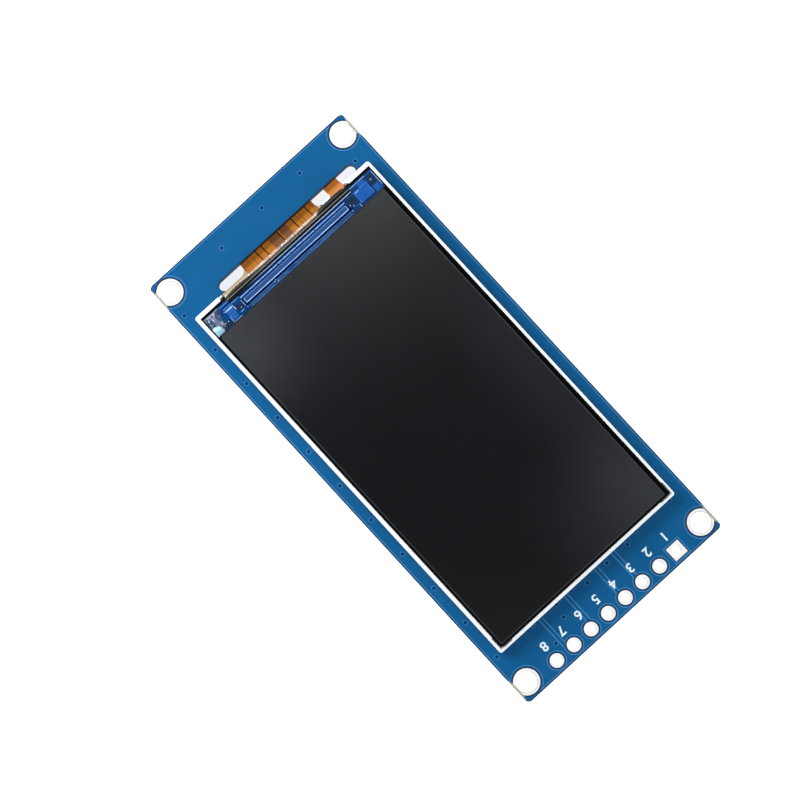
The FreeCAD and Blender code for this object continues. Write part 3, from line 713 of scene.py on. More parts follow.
def rim_finish():
    """White moulded plastic; its low walls round the glass are painted black, as painted shade in the gap
    beside the glass.
    """
    panel = panel_settings()
    middle_x = (GLASS_LOW.x + GLASS_HIGH.x) / 2
    reach_x = (GLASS_HIGH.x - GLASS_LOW.x) / 2 + panel.shade_reach
    reach_y = GLASS_HIGH.y + panel.shade_reach_y

    def paint(tree, base):
        # Painted shade: black on the frame's low walls near the glass.
        low = calc(tree, "<", point_part(tree, "Z"), RIM_HIGH.z - panel.rim_bevel)
        near_x = calc(tree, "<", away_from(tree, "X", middle_x), reach_x)
        near_y = calc(tree, "<", calc(tree, "abs", point_part(tree, "Y")), reach_y)
        return blend(tree, all_of(tree, low, near_x, near_y), base, srgb(9, 9, 10))

    return surface(
        "frame_white", panel.rim, None, scale=0.35, amount=0.35, rough=0.42, spread=0.1, grain=9.0,
        bump=0.002, paint=paint,
    )


def painted_bend_highlight(tree, base, cream):
    """Painted highlight along the first bend: a pale grainy band standing in for the light off the bent film.
    """
    flex = flex_settings()
    middle = GLASS_HIGH.y + flex.bend_start + flex.shine_place
    core = flex.shine_width * flex.shine_core
    near = ranged(tree, away_from(tree, "Y", middle), flex.shine_width, core)
    high = calc(tree, ">", point_part(tree, "Z"), BOARD_HIGH.z)
    grains = noise(tree, object_point(tree), 4.5, 2.0, 0.7)
    # Painted highlight colour, with a fine grain.
    highlight_grain = blend(tree, ranged(tree, grains, 0.48, 0.62), cream, srgb(206, 200, 192))
    return blend(tree, all_of(tree, near, high, flex.shine_strength), base, highlight_grain)


def amber_finish(name, base, other, bend_highlight):
    """Amber film over copper, with a painted glow that stands in for light coming through it. The wide flex
    has a painted highlight band along its bend.
    """
    flex = flex_settings()

    def paint(tree, start):
        return painted_bend_highlight(tree, start, srgb(120, 122, 122))

    # Darker copies of the colours; the painted glow, in the film's own colour, makes up the rest of their
    # brightness.
    lit, lit_other = (tuple(part * flex.shade for part in tone[:3]) + (1.0,) for tone in (base, other))
    return surface(
        name, lit, lit_other, scale=0.6, amount=0.6, rough=0.45, spread=0.15, grain=14.0, scratches=0.08,
        bump=0.002, paint=paint if bend_highlight else None, Specular_IOR_Level=0.25,
        Emission_Color=base, Emission_Strength=flex.glow,
    )


def film_finish(name):
    """Bare amber film: dark between the finger's tracks, with a painted highlight colour on the wide root and
    a painted glow.
    """
    flex = flex_settings()
    finger_y = GLASS_HIGH.y + flex.bend_start + flex.finger_start

    def paint(tree, start):
        away = away_from(tree, "X", flex.centre_x)
        inside = calc(tree, "<", away, flex.finger_half)
        past = calc(tree, ">", point_part(tree, "Y"), finger_y)
        finger = calc(tree, "*", inside, past)
        step = calc(tree, "fract", calc(tree, "/", away, flex.contact_pitch))
        off_track = calc(tree, "abs", calc(tree, "-", step, 0.5))
        on_track = calc(tree, ">", off_track, flex.back_gap)
        geometry = add(tree, "ShaderNodeNewGeometry")
        facing = add(tree, "ShaderNodeSeparateXYZ", {"Vector": geometry.outputs["Normal"]})
        behind = calc(tree, "<", facing.outputs["Z"], -TOUCH)
        start = blend(tree, calc(tree, "*", on_track, behind), start, flex.copper)
        # Pale root colour: painted highlight.
        return painted_bend_highlight(tree, blend(tree, finger, flex.root, start), srgb(140, 122, 104))

    # Painted glow in the film's own colour.
    return surface(
        name, flex.film, None, scale=0.5, amount=0.3, rough=0.28, grain=16.0, bump=0.002, paint=paint,
        Coat_Weight=0.5, Coat_Roughness=0.15, Emission_Color=flex.film, Emission_Strength=flex.glow,
    )


def resin_finish(name, paint=None):
    """Glossy black resin."""
    return surface(
        name, flex_settings().bead, None, scale=0.9, amount=0.3, rough=0.3, spread=0.1, grain=5.0,
        bump=0.008, paint=paint, Specular_IOR_Level=0.2,
    )


def bead_finish():
    """Black resin with a painted grey highlight along its crest and a thin painted highlight line along its
    foot.
    """
    flex = flex_settings()

    def paint(tree, start):
        way = add(tree, "ShaderNodeAttribute", attribute_name="way").outputs["Fac"]
        away = calc(tree, "abs", way)
        # Painted highlight along the bead's crest.
        crest = ranged(tree, away, flex.crest_half, flex.crest_half * flex.crest_core)
        highlighted = blend(tree, crest, start, flex.crest)
        # Painted highlight line along the bead's foot.
        at_foot = calc(tree, "<", way, flex.bead_foot + flex.foot_line - flex.crest_way)
        from_left = ranged(
            tree, point_part(tree, "X"), BEAD_LOW.x + flex.foot_from, BEAD_LOW.x + flex.foot_full,
        )
        lit = calc(tree, "*", at_foot, from_left)
        return blend(tree, lit, highlighted, flex.foot_light)

    return resin_finish("black_bead", paint)


# In the sealant, from its lower left corner: blue from and to along X, middle and reach of the white painted
# reflection at the corner
BLUE_SPAN = (1.0, 2.3)
REFLECTION_MIDDLE = (0.30, 0.42)
REFLECTION_REACH = (0.95, 0.60)
REFLECTION_DRIFT = 0.5


def sealant_finish():
    """Clear silicone over dark glass: grey and lilac, with a white painted reflection at its thick corner and
    a few painted highlight streaks.
    """
    flex = flex_settings()

    def paint(tree, start):
        point = object_point(tree)
        slanted = add(
            tree, "ShaderNodeMapping", {"Vector": point, "Rotation": (0, 0, 0.9), "Scale": (1, 0.35, 1)},
        )
        depth = ranged(tree, noise(tree, slanted, 1.9, 3.0), 0.35, 0.65)
        grey = blend(tree, depth, srgb(34, 42, 74), srgb(126, 128, 152))
        # Painted highlights: a few bright streaks.
        painted_glint = ranged(tree, noise(tree, slanted, 4.2, 3.0, 0.6), 0.56, 0.66, 0.0, 0.85)
        glinted = blend(tree, painted_glint, grey, srgb(206, 214, 232))
        blue_from, blue_to = (SEALANT_LOW.x + place for place in BLUE_SPAN)
        to_right = ranged(tree, point_part(tree, "X"), blue_from, blue_to)
        glinted = blend(tree, to_right, glinted, srgb(40, 62, 112))
        # Painted reflection: white near the lower left corner.
        away_x = calc(tree, "-", point_part(tree, "X"), SEALANT_LOW.x + REFLECTION_MIDDLE[0])
        away_y = calc(tree, "-", point_part(tree, "Y"), SEALANT_LOW.y + REFLECTION_MIDDLE[1])
        away = calc(tree, "+", calc(tree, "*", away_x, away_x), calc(tree, "*", away_y, away_y))
        uneven = calc(tree, "+", away, calc(tree, "*", noise(tree, point, 2.4, 2.0), REFLECTION_DRIFT))
        return blend(tree, ranged(tree, uneven, *REFLECTION_REACH), glinted, start)

    return surface(
        "clear_sealant", flex.sealant, srgb(120, 190, 214), scale=1.5, amount=0.8, rough=0.14,
        spread=0.06, grain=3.0, scratches=0.03, bump=0.006, paint=paint, IOR=1.41,
        Coat_Weight=0.5, Coat_Roughness=0.03,
    )


def clear_finish(name, base, rough, weight, ior):
    """Clear or frosted plastic."""
    return surface(
        name, base, (0.95, 0.97, 1.0, 1), scale=1.1, amount=0.4, rough=rough, spread=0.06, grain=3.0,
        scratches=0.03, bump=0.008, Transmission_Weight=weight, IOR=ior,
    )


def make_finishes():
    """Every finish by its short name."""
    panel = panel_settings()
    flex = flex_settings()
    return {
        "mask": mask_finish("solder_mask"),
        "laminate": laminate_finish(),
        "tin": metal_finish("tinned_copper", (0.98, 0.98, 0.98, 1), 0.45),
        "solder": metal_finish("solder", (0.84, 0.85, 0.86, 1), 0.26),
        "ink": surface(
            "white_print", board_settings().ink, (0.86, 0.93, 0.96, 1), scale=2.0, rough=0.55,
            grain=16.0, bump=0.004,
        ),
        "via_hole": surface(
            "via_hole", srgb(10, 50, 96), srgb(8, 38, 78), scale=3.0, rough=0.6, bump=0.003,
            Specular_IOR_Level=0.0,
        ),
        "via_ring": surface("via_ring", srgb(52, 124, 184), srgb(70, 140, 196), scale=3.0, rough=0.35),
        "pad_lip": surface(
            "pad_lip", srgb(150, 150, 148), srgb(206, 204, 200), scale=2.4, rough=0.4, Metallic=0.4,
        ),
        "rim": rim_finish(),
        "tape": surface("white_tape", srgb(232, 232, 226), scale=0.8, rough=0.7, grain=10.0, bump=0.004),
        "reflector": surface(
            "reflector_film", srgb(226, 229, 232), scale=0.3, rough=0.22, grain=14.0, Metallic=0.4,
        ),
        "guide": clear_finish("light_guide", (0.93, 0.96, 0.97, 1), 0.08, 0.9, 1.49),
        "film": clear_finish("light_film", (0.92, 0.94, 0.95, 1), 0.45, 0.5, 1.45),
        "shield": surface("black_tape", srgb(11, 11, 12), srgb(22, 22, 24), scale=0.9, rough=0.5, grain=14.0),
        "lamp": surface("lamp_housing", srgb(236, 236, 230), scale=1.0, rough=0.5, grain=10.0),
        "phosphor": surface("lamp_phosphor", srgb(232, 206, 92), srgb(240, 222, 130), scale=2.0, rough=0.55),
        "flex_film": film_finish("flex_film"),
        "tail_film": amber_finish("tail_film", flex.backlight_copper, srgb(214, 140, 66), False),
        "flex_copper": amber_finish("flex_copper", flex.copper, srgb(196, 122, 50), True),
        "dull_copper": amber_finish("dull_copper", srgb(112, 74, 46), srgb(134, 84, 42), True),
        "tail_copper": amber_finish("tail_copper", flex.backlight_copper, srgb(214, 140, 66), False),
        "face": face_finish(),
        "face_edge": surface(
            "polarizer_edge", panel.face_edge, srgb(128, 134, 140), scale=1.0, rough=0.4, grain=18.0,
        ),
        "glass_edge": surface(
            "glass_edge", srgb(28, 38, 50), srgb(60, 78, 92), scale=1.2, rough=0.2, grain=9.0, bump=0.003,
            Coat_Weight=0.4,
        ),
        "dark_glass": border_finish(),
        "ledge": ledge_finish(),
        "track": surface(
            "ledge_track", panel.ledge_bright, srgb(140, 206, 240), scale=1.0, rough=0.22,
            Metallic=0.4,
        ),
        "pale_track": surface(
            "pale_track", srgb(176, 208, 255), srgb(110, 168, 246), scale=1.4, amount=0.9, rough=0.3,
        ),
        "soft_track": surface(
            "soft_track", srgb(62, 118, 196), srgb(120, 160, 222), scale=1.4, amount=0.8, rough=0.25,
        ),
        "speck": surface("speck", srgb(220, 232, 250), srgb(180, 200, 250), scale=4.0, rough=0.2),
        "navy": surface(
            "ledge_navy", srgb(0, 14, 62), srgb(0, 30, 96), scale=1.4, amount=0.6, Specular_IOR_Level=0.1,
        ),
        "deep_blue": surface(
            "ledge_deep_blue", srgb(0, 40, 88), srgb(0, 56, 116), scale=1.2, amount=0.6, rough=0.35,
            Specular_IOR_Level=0.1,
        ),
        "blue_pad": surface(
            "ledge_pad", srgb(22, 82, 160), srgb(30, 104, 184), scale=1.6, rough=0.25, Coat_Weight=0.2,
        ),
        "dark_pad": surface(
            "ledge_dark", srgb(14, 36, 62), srgb(24, 56, 92), scale=2.2, rough=0.25, Coat_Weight=0.3,
        ),
        "chip": chip_finish(),
        "bead": bead_finish(),
        "resin": resin_finish("black_resin"),
        "sealant": sealant_finish(),
        "moulded": surface(
            "moulded_black", srgb(28, 28, 30), srgb(40, 40, 42), scale=1.2, dust=0.05, rough=0.62, grain=11.0,
            bump=0.006,
        ),
        "capacitor": surface(
            "capacitor_tan", srgb(176, 140, 104), srgb(194, 160, 124), scale=2.0, grain=10.0, bump=0.004,
        ),
        "resistor": surface(
            "resistor_glaze", srgb(22, 22, 25), srgb(36, 36, 40), scale=2.0, rough=0.2, grain=7.0,
            Coat_Weight=0.6,
        ),
    }


FINISHES = {}


def finish(name):
    """A finish, made with all the others the first time."""
    if not FINISHES:
        FINISHES.update(make_finishes())
    return FINISHES[name]


def dress(nodes, name):
    """Gives CAD nodes a finish through their material slots."""
    for node in nodes:
        obj = frame["nodes"][node]
        if not obj.material_slots:
            obj.data.materials.append(finish(name))
        for slot in obj.material_slots:
            slot.link = "OBJECT"
            slot.material = finish(name)


# Mesh building blocks

def rounded(mesh, degrees=35):
    """Smooth shading with sharp edges past an angle."""
    mesh.shade_smooth()
    mesh.set_sharp_from_angle(angle=math.radians(degrees))


# Least upward share of a level face's normal
LEVEL = 0.999


def level_faces_flat(mesh):
    """Smooth shading only on the faces that aren't level, so that wide faces stay even."""
    mesh.shade_smooth()
    for face in mesh.polygons:
        if abs(face.normal.z) > LEVEL:
            face.use_smooth = False


def place_piece(name, mesh, materials, replaces=()):
    """Makes a finished mesh a piece of the module."""
    mesh = to_metres(mesh)
    mesh.materials.clear()
    for material in materials:
        mesh.materials.append(finish(material))
    piece = in_scene(name, mesh)
    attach(piece, BODY)
    if replaces:
        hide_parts(*replaces)


def evaluated_mesh(obj):
    """The object's final mesh by itself; the object is removed."""
    bpy.context.view_layer.update()
    graph = bpy.context.evaluated_depsgraph_get()
    mesh = bpy.data.meshes.new_from_object(obj.evaluated_get(graph))
    bpy.data.objects.remove(obj)
    return mesh


def to_metres(mesh):
    """Brings a mesh from millimetres to metres."""
    mesh.transform(Matrix.Scale(MM, 4))
    mesh.update()
    return mesh


def in_scene(name, data):
    """A new object, put into the scene."""
    obj = bpy.data.objects.new(name, data)
    bpy.context.scene.collection.objects.link(obj)
    return obj


# Points nearer than this are one point, in millimetres; much nearer where a mesh has fine details
MERGE = 0.0005
MERGE_FINE = 0.00005
MERGE_FINEST = 0.00001


def cleaned(mesh, distance=MERGE):
    """Merges doubles and turns the faces outwards."""
    work = bmesh.new()
    work.from_mesh(mesh)
    bmesh.ops.remove_doubles(work, verts=work.verts, dist=distance)
    bmesh.ops.recalc_face_normals(work, faces=work.faces)
    work.to_mesh(mesh)
    work.free()
    return mesh


def arc(centre, radius, start, end, steps):
    """Points on an arc, angles in degrees."""
    points = []
    for index in range(steps + 1):
        turn = math.radians(start + (end - start) * index / steps)
        points.append((centre[0] + radius * math.cos(turn), centre[1] + radius * math.sin(turn)))
    return points


# Steps of arcs: full turn, small corner, the board's corner, the slot's end, part and whole of a round bite
FULL_TURN = 48
CORNER_TURN = 4
BOARD_CORNER = 8
SLOT_END = 12
PART_BITE = 40
WHOLE_BITE = 56


def circle(x, y, radius):
    """Points of a full circle."""
    return arc((x, y), radius, 0, 360, FULL_TURN)[:-1]


def rounded_box(x0, x1, y0, y1, radius, steps=CORNER_TURN):
    """Points of a rectangle with rounded corners."""
    points = []
    corners = [(x1 - radius, y0 + radius, -90), (x1 - radius, y1 - radius, 0),
               (x0 + radius, y1 - radius, 90), (x0 + radius, y0 + radius, 180)]
    for x, y, start in corners:
        points += arc((x, y), radius, start, start + 90, steps)
    return points


def box_points(x0, x1, y0, y1):
    """Points of a plain rectangle."""
    return [(x0, y0), (x1, y0), (x1, y1), (x0, y1)]


def band(points, half):
    """Outline of a strip along a bent line, with mitred corners."""
    sides = ([], [])
    for index, point in enumerate(points):
        here = Vector(point)
        before = (here - Vector(points[index - 1])).normalized() if index else None
        after = (Vector(points[index + 1]) - here).normalized() if index < len(points) - 1 else None
        first = before or after
        second = after or before
        along = (first + second).normalized()
        across = Vector((-along.y, along.x)) * (half / max(0.5, along.dot(first)))
        sides[0].append(tuple(here + across))
        sides[1].append(tuple(here - across))
    return sides[1] + sides[0][::-1]


def relief(name, outlines, low, high, edge):
    """A flat mesh of outlines, holes among them, between two heights, with softly rounded edges."""
    curve = bpy.data.curves.new(name, "CURVE")
    curve.dimensions = "2D"
    curve.fill_mode = "BOTH"
    curve.extrude = (high - low) / 2 - edge
    curve.bevel_depth = edge
    curve.bevel_resolution = 1
    curve.offset = -edge
    for outline in outlines:
        spline = curve.splines.new("POLY")
        spline.points.add(len(outline) - 1)
        for point, (x, y) in zip(spline.points, outline):
            point.co = (x, y, 0, 1)
        spline.use_cyclic_u = True
    mesh = cleaned(evaluated_mesh(in_scene(name, curve)))
    mesh.transform(Matrix.Translation((0, 0, (low + high) / 2)))
    return mesh


def joined(name, meshes):
    """Several meshes as one, keeping each face's material index."""
    work = bmesh.new()
    for mesh in meshes:
        work.from_mesh(mesh)
        bpy.data.meshes.remove(mesh)
    mesh = bpy.data.meshes.new(name)
    work.to_mesh(mesh)
    work.free()
    return mesh


# Edges sharper than this are rounded, in degrees
SHARP = 40


def soft_copy(node, name, width, segments, material_count=1):
    """A copy of a CAD node with rounded edges. The rounding may take a second material."""
    mesh = frame["nodes"][node].data.copy()
    mesh.transform(Matrix.Scale(1 / MM, 4))
    work = bmesh.new()
    work.from_mesh(mesh)
    bmesh.ops.remove_doubles(work, verts=work.verts, dist=MERGE)
    bmesh.ops.dissolve_limit(
        work, angle_limit=math.radians(1), verts=work.verts, edges=work.edges, delimit={"NORMAL"},
    )
    fresh = bpy.data.meshes.new(name)
    work.to_mesh(fresh)
    work.free()
    bpy.data.meshes.remove(mesh)
    for _ in range(material_count):
        fresh.materials.append(None)
    fresh.shade_smooth()
    obj = in_scene(name, fresh)
    bevel = obj.modifiers.new("Soft edges", "BEVEL")
    bevel.width = width
    bevel.segments = segments
    bevel.limit_method = "ANGLE"
    bevel.angle_limit = math.radians(SHARP)
    bevel.use_clamp_overlap = True
    bevel.harden_normals = True
    if material_count > 1:
        bevel.material = 1
    return evaluated_mesh(obj)


# Geometry Nodes building blocks

def new_tree(name, **sizes):
    """An empty Geometry Nodes tree with named sizes; underscores in the names stand for spaces."""
    tree = bpy.data.node_groups.new(name, "GeometryNodeTree")
    tree.interface.new_socket("Geometry", in_out="INPUT", socket_type="NodeSocketGeometry")
    for key, default in sizes.items():
        new_socket(tree, key.replace("_", " "), "INPUT", default)
    tree.interface.new_socket("Geometry", in_out="OUTPUT", socket_type="NodeSocketGeometry")
    return tree, add(tree, "NodeGroupInput")


def finish_tree(tree, given, unit):
    """Sets the unit on every point, sized by the points' own attribute, and ends the tree."""
    size = add(tree, "GeometryNodeInputNamedAttribute", {"Name": "size"}, data_type="FLOAT_VECTOR")
    copies = add(
        tree, "GeometryNodeInstanceOnPoints",
        {"Points": given.outputs["Geometry"], "Instance": unit, "Scale": size},
    )
    real = add(tree, "GeometryNodeRealizeInstances", {"Geometry": copies})
    add(tree, "NodeGroupOutput", {"Geometry": real})
    return tree


# Steps round a ring, round its wire and round a disc
RING_STEPS = 28
WIRE_STEPS = 8
DISC_STEPS = 24


def round_curve(tree, steps, radius):
    """A closed round curve."""
    return add(tree, "GeometryNodeCurvePrimitiveCircle", {"Resolution": steps, "Radius": radius})


def ring_tree(name):
    """A tree that sets a low ring on each point."""
    tree, given = new_tree(name, Ring_radius=0.25, Wire_radius=0.02)
    path = round_curve(tree, RING_STEPS, given.outputs["Ring radius"])
    wire = round_curve(tree, WIRE_STEPS, given.outputs["Wire radius"])
    ring = add(tree, "GeometryNodeCurveToMesh", {"Curve": path, "Profile Curve": wire})
    return finish_tree(tree, given, ring)


def disc_tree(name):
    """A tree that sets a thin disc on each point."""
    tree, given = new_tree(name, Radius=0.15, Height=0.01)
    disc = add(
        tree, "GeometryNodeMeshCylinder",
        {"Vertices": DISC_STEPS, "Radius": given.outputs["Radius"], "Depth": given.outputs["Height"]},
    )
    return finish_tree(tree, given, disc)


def strip_tree(name):
    """A tree that sets a unit block on each point, to be sized by the point."""
    tree, given = new_tree(name, Height=0.004)
    size = add(tree, "ShaderNodeCombineXYZ", {"X": 1.0, "Y": 1.0, "Z": given.outputs["Height"]})
    return finish_tree(tree, given, add(tree, "GeometryNodeMeshCube", {"Size": size}))


def ribbon_tree(name):
    """A tree that sets a bent strip on each point: it follows the bend curve, one unit wide."""
    tree, given = new_tree(name, Height=0.006)
    tree.interface.new_socket("Path", in_out="INPUT", socket_type="NodeSocketObject")
    path = add(tree, "GeometryNodeObjectInfo", {"Object": given.outputs["Path"]}, transform_space="ORIGINAL")
    curve = add(tree, "GeometryNodeMeshToCurve", {"Mesh": path.outputs["Geometry"]})
    section = add(
        tree, "GeometryNodeCurvePrimitiveQuadrilateral", {"Width": 1, "Height": given.outputs["Height"]},
    )
    swept = add(
        tree, "GeometryNodeCurveToMesh",
        {"Curve": curve, "Profile Curve": section, "Fill Caps": True},
    )
    return finish_tree(tree, given, swept)


def grow(name, tree, points, **values):
    """Runs a tree on points (place, size) and gives the plain mesh."""
    mesh = bpy.data.meshes.new(name)
    mesh.from_pydata([place for place, size in points], [], [])
    sizes = mesh.attributes.new("size", "FLOAT_VECTOR", "POINT")
    for element, (place, size) in zip(sizes.data, points):
        element.vector = size
    obj = in_scene(name, mesh)
    modifier = obj.modifiers.new("Grow", "NODES")
    modifier.node_group = tree
    given = {key.replace("_", " "): value for key, value in values.items()}
    for item in tree.interface.items_tree:
        if item.name in given:
            modifier[item.identifier] = given[item.name]
    return evaluated_mesh(obj)


ONE = (1.0, 1.0, 1.0)


# Board

def board_outline(inset, bite):
    """The board's outline moved in, cut round each mounting pad where the pad's opening passes the edge."""
    half_x = BOARD_HIGH.x - inset
    half_y = BOARD_HIGH.y - inset
    centre = (HOLE_X, HOLE_Y)
    low_angle = math.degrees(math.acos((half_x - HOLE_X) / bite))
    quarter = []
    if bite > half_y - HOLE_Y:
        top_angle = math.degrees(math.asin((half_y - HOLE_Y) / bite))
        quarter += arc(centre, bite, -low_angle, -180 - top_angle, PART_BITE)
    else:
        corner = board_settings().corner - inset
        quarter += arc(centre, bite, -low_angle, low_angle - 360, WHOLE_BITE)
        quarter += arc((half_x - corner, half_y - corner), corner, 0, 90, BOARD_CORNER)
    across = [(-x, y) for x, y in reversed(quarter)]
    opposite = [(-x, -y) for x, y in quarter]
    below = [(x, -y) for x, y in reversed(quarter)]
    return quarter + across + opposite + below


def slot_outline(margin):
    """The flex slot, widened by a margin."""
    board = board_settings()
    y0 = RIM_HIGH.y + board.slot_gap
    half = board.slot_length / 2
    return rounded_box(
        board.slot_x - half - margin, board.slot_x + half + margin,
        y0 - margin, y0 + board.slot_width + margin, board.slot_width / 2 + margin, SLOT_END,
    )


# Past the first pad's sides, in millimetres: mask opening and copper, on the front and on the back
SQUARE_FRONT = (0.10, 0.24)
SQUARE_BACK = (0.09, 0.16)
SQUARE_CORNER = 0.12


def header_row():
    """Header holes from the first pad on, along -X."""
    return [((HEADER_COUNT - 1) / 2 - index) * HEADER_PITCH for index in range(HEADER_COUNT)]


def pad_outline(index, x, radius, margin):
    """Opening round one header pad: a square for the first, round for the others."""
    if index == 0:
        half = board_settings().square_half + margin
        return rounded_box(x - half, x + half, HEADER_Y - half, HEADER_Y + half, SQUARE_CORNER)
    return circle(x, HEADER_Y, radius)


# Front tracks: the pad's number in the row and how far its track lies to the side of the pad
FRONT_TRACKS = {2: -0.18, 3: -0.20, 5: 0.45, 6: -0.78}

# How far the front tracks' channels, and the tracks themselves, run in under the panel
UNDER_PANEL = 0.8
TRACK_UNDER_PANEL = 1.0

# Open mask between a pad's opening and the start of its track
PAD_GAP = 0.02


def channel_outline(x, side, end_y, spread):
    """Gap in the copper round a pad and along its track, narrowed by the spread of the copper's edge."""
    board = board_settings()
    half = board.channel_half - spread
    radius = board.header_clearance - spread
    right = math.degrees(math.asin((side + half) / radius))
    left = math.degrees(math.asin((side - half) / radius))
    points = arc((x, HEADER_Y), radius, 90 - left, 450 - right, FULL_TURN)
    return points + [(x + side + half, end_y), (x + side - half, end_y)]


def front_copper(spread, height):
    """The front's copper pour and tracks, widened by a spread."""
    board = board_settings()
    top = BOARD_HIGH.z
    channel_end = RIM_LOW.y + UNDER_PANEL
    clearances = []
    tracks = []
    for index, x in enumerate(header_row()):
        if index not in FRONT_TRACKS:
            margin = SQUARE_FRONT[1] - spread
            clearances.append(pad_outline(index, x, board.header_clearance - spread, margin))
            continue
        side = FRONT_TRACKS[index]
        clearances.append(channel_outline(x, side, channel_end, spread))
        start_y = HEADER_Y + math.sqrt(board.header_opening ** 2 - side ** 2) + PAD_GAP
        half = board.track_half + spread / 2
        tracks.append(box_points(x + side - half, x + side + half, start_y, RIM_LOW.y + TRACK_UNDER_PANEL))
    outlines = [
        board_outline(board.pour_inset - spread, board.mount_clearance - spread),
        slot_outline(board.slot_margin),
    ]
    pour = relief("pour", outlines + clearances, top, top + height, board.relief_edge)
    return [pour] + [relief("track", [outline], top, top + height, board.relief_edge) for outline in tracks]


def mask_outlines(margin):
    """Outlines of the solder mask: edge, slot and the openings round the header pads."""
    board = board_settings()
    outlines = [board_outline(board.mask_inset, board.mount_opening), slot_outline(board.slot_margin)]
    for index, x in enumerate(header_row()):
        outlines.append(pad_outline(index, x, board.header_opening, margin))
    return outlines


def front_relief():
    """Mask and copper relief of the board's front: low mask, light edge line, copper level."""
    board = board_settings()
    top = BOARD_HIGH.z
    low_mask = relief("mask", mask_outlines(SQUARE_FRONT[0]), top, top + board.mask_height, board.relief_edge)
    edge_lines = front_copper(board.edge_line, board.line_height)
    return joined("front_mask", [low_mask] + edge_lines + front_copper(0, board.pour_height))


# Back tracks from the flex's contacts to the header: contact, corridor past the slot, header hole
BACK_TRACKS = [(0, -9.3, 4), (1, -9.8, 5), (2, -10.3, 6), (3, -10.8, 7)]


def back_routes(from_contact, from_hole):
    """Each back track's bends: up from its contact, round the slot's end, down and across to its hole."""
    board = board_settings()
    contacts = sorted(islands("flex_contact_pads"), key=lambda corners: corners[0].x)
    contact_y = contacts[0][1].y
    bend = board.track_bend
    routes = []
    for order, (contact, corridor, hole) in enumerate(BACK_TRACKS):
        low, high = contacts[contact]
        start_x = (low.x + high.x) / 2
        end_x = header_row()[hole]
        top_y = contact_y + board.track_first + order * board.track_step
        low_y = board.track_turn - order * board.track_step
        routes.append([
            (start_x, contact_y + from_contact), (start_x, top_y - bend), (start_x - bend, top_y),
            (corridor + bend, top_y), (corridor, top_y - bend), (corridor, low_y + bend),
            (corridor + bend, low_y), (end_x - bend, low_y), (end_x, low_y - bend),
            (end_x, HEADER_Y + from_hole),
        ])
    return routes


def islands(node):
    """Boxes of a node's separate solids: lowest and highest corner of each, in millimetres."""
    work = bmesh.new()
    work.from_mesh(frame["nodes"][node].data)
    bmesh.ops.remove_doubles(work, verts=work.verts, dist=MERGE * MM)
    left = set(work.verts)
    boxes = []
    while left:
        group = [left.pop()]
        for vertex in group:
            for edge in vertex.link_edges:
                other = edge.other_vert(vertex)
                if other in left:
                    left.remove(other)
                    group.append(other)
        low = Vector([min(vertex.co[axis] for vertex in group) for axis in range(3)]) / MM
        high = Vector([max(vertex.co[axis] for vertex in group) for axis in range(3)]) / MM
        boxes.append((low, high))
    work.free()
    return sorted(boxes, key=lambda corners: (round(corners[0].y, 2), round(corners[0].x, 2)))


# Parts on the back: those with three leads, and the chips with two ends
THREE_LEADS = ["regulator", "backlight_transistor"]
CHIPS = ["capacitor", "resistor"]

# Copper pour from the parts and, beside them, from the flex's contacts; radius of those openings' corners
PART_GAP_X = 0.3
PART_GAP_Y = 0.5
CONTACT_GAP_X = 0.4
GAP_CORNER = 0.2


def chip_boxes():
    """Lowest and highest corner of each chip on the back, from its two ends."""
    return [corners for part in CHIPS for corners in paired(islands(part + "_terminals"))]


def widened(corners, gap_x, gap_y):
    """Sides of a box that is wider by a gap all round."""
    low, high = corners
    return low.x - gap_x, high.x + gap_x, low.y - gap_y, high.y + gap_y


def back_gaps(board, spread):
    """Places in the back's copper pour that stay open round pads and parts."""
    places = []
    for index, x in enumerate(header_row()):
        places.append(pad_outline(index, x, board.header_clearance - spread, SQUARE_BACK[1] - spread))
    boxes = [(box_mm("flex_contact_pads"), CONTACT_GAP_X, board.contact_clearance)]
    for corners in [box_mm(part + "_leads") for part in THREE_LEADS] + chip_boxes():
        boxes.append((corners, PART_GAP_X, PART_GAP_Y))
    for corners, gap_x, gap_y in boxes:
        places.append(rounded_box(*widened(corners, gap_x - spread, gap_y - spread), GAP_CORNER))
    return places


# Where a back track, and its channel, starts past its contact and ends before its hole's opening
TRACK_START = 0.08
CHANNEL_START = 0.02
CHANNEL_END = 0.05


def back_copper(spread, height):
    """The back's copper pour and tracks, widened by a spread."""
    board = board_settings()
    routes = back_routes(board.contact_clearance + CHANNEL_START, board.header_clearance + CHANNEL_END)
    outlines = [
        board_outline(board.pour_inset - spread, board.mount_clearance - spread),
        slot_outline(board.slot_pour - spread),
    ]
    outlines += back_gaps(board, spread)
    outlines += [band(points, board.back_channel - spread) for points in routes]
    meshes = [relief("pour", outlines, -height, 0, board.relief_edge)]
    for points in back_routes(TRACK_START, board.header_opening + PAD_GAP):
        track = band(points, board.back_track + spread / 2)
        meshes.append(relief("track", [track], -height, 0, board.relief_edge))
    return meshes


def back_relief():
    """Mask and copper relief of the board's back."""
    board = board_settings()
    outlines = mask_outlines(SQUARE_BACK[0])
    for corners in islands("back_part_pads") + islands("flex_contact_pads"):
        outlines.append(box_points(*widened(corners, board.pad_opening, board.pad_opening)))
    low_mask = relief("mask", outlines, -board.mask_height, 0, board.relief_edge)
    edge_lines = back_copper(board.edge_line, board.line_height)
    return joined("back_mask", [low_mask] + edge_lines + back_copper(0, board.pour_height))


# Two ends of a part differ less than this along X, in millimetres
SAME_LINE = 0.1


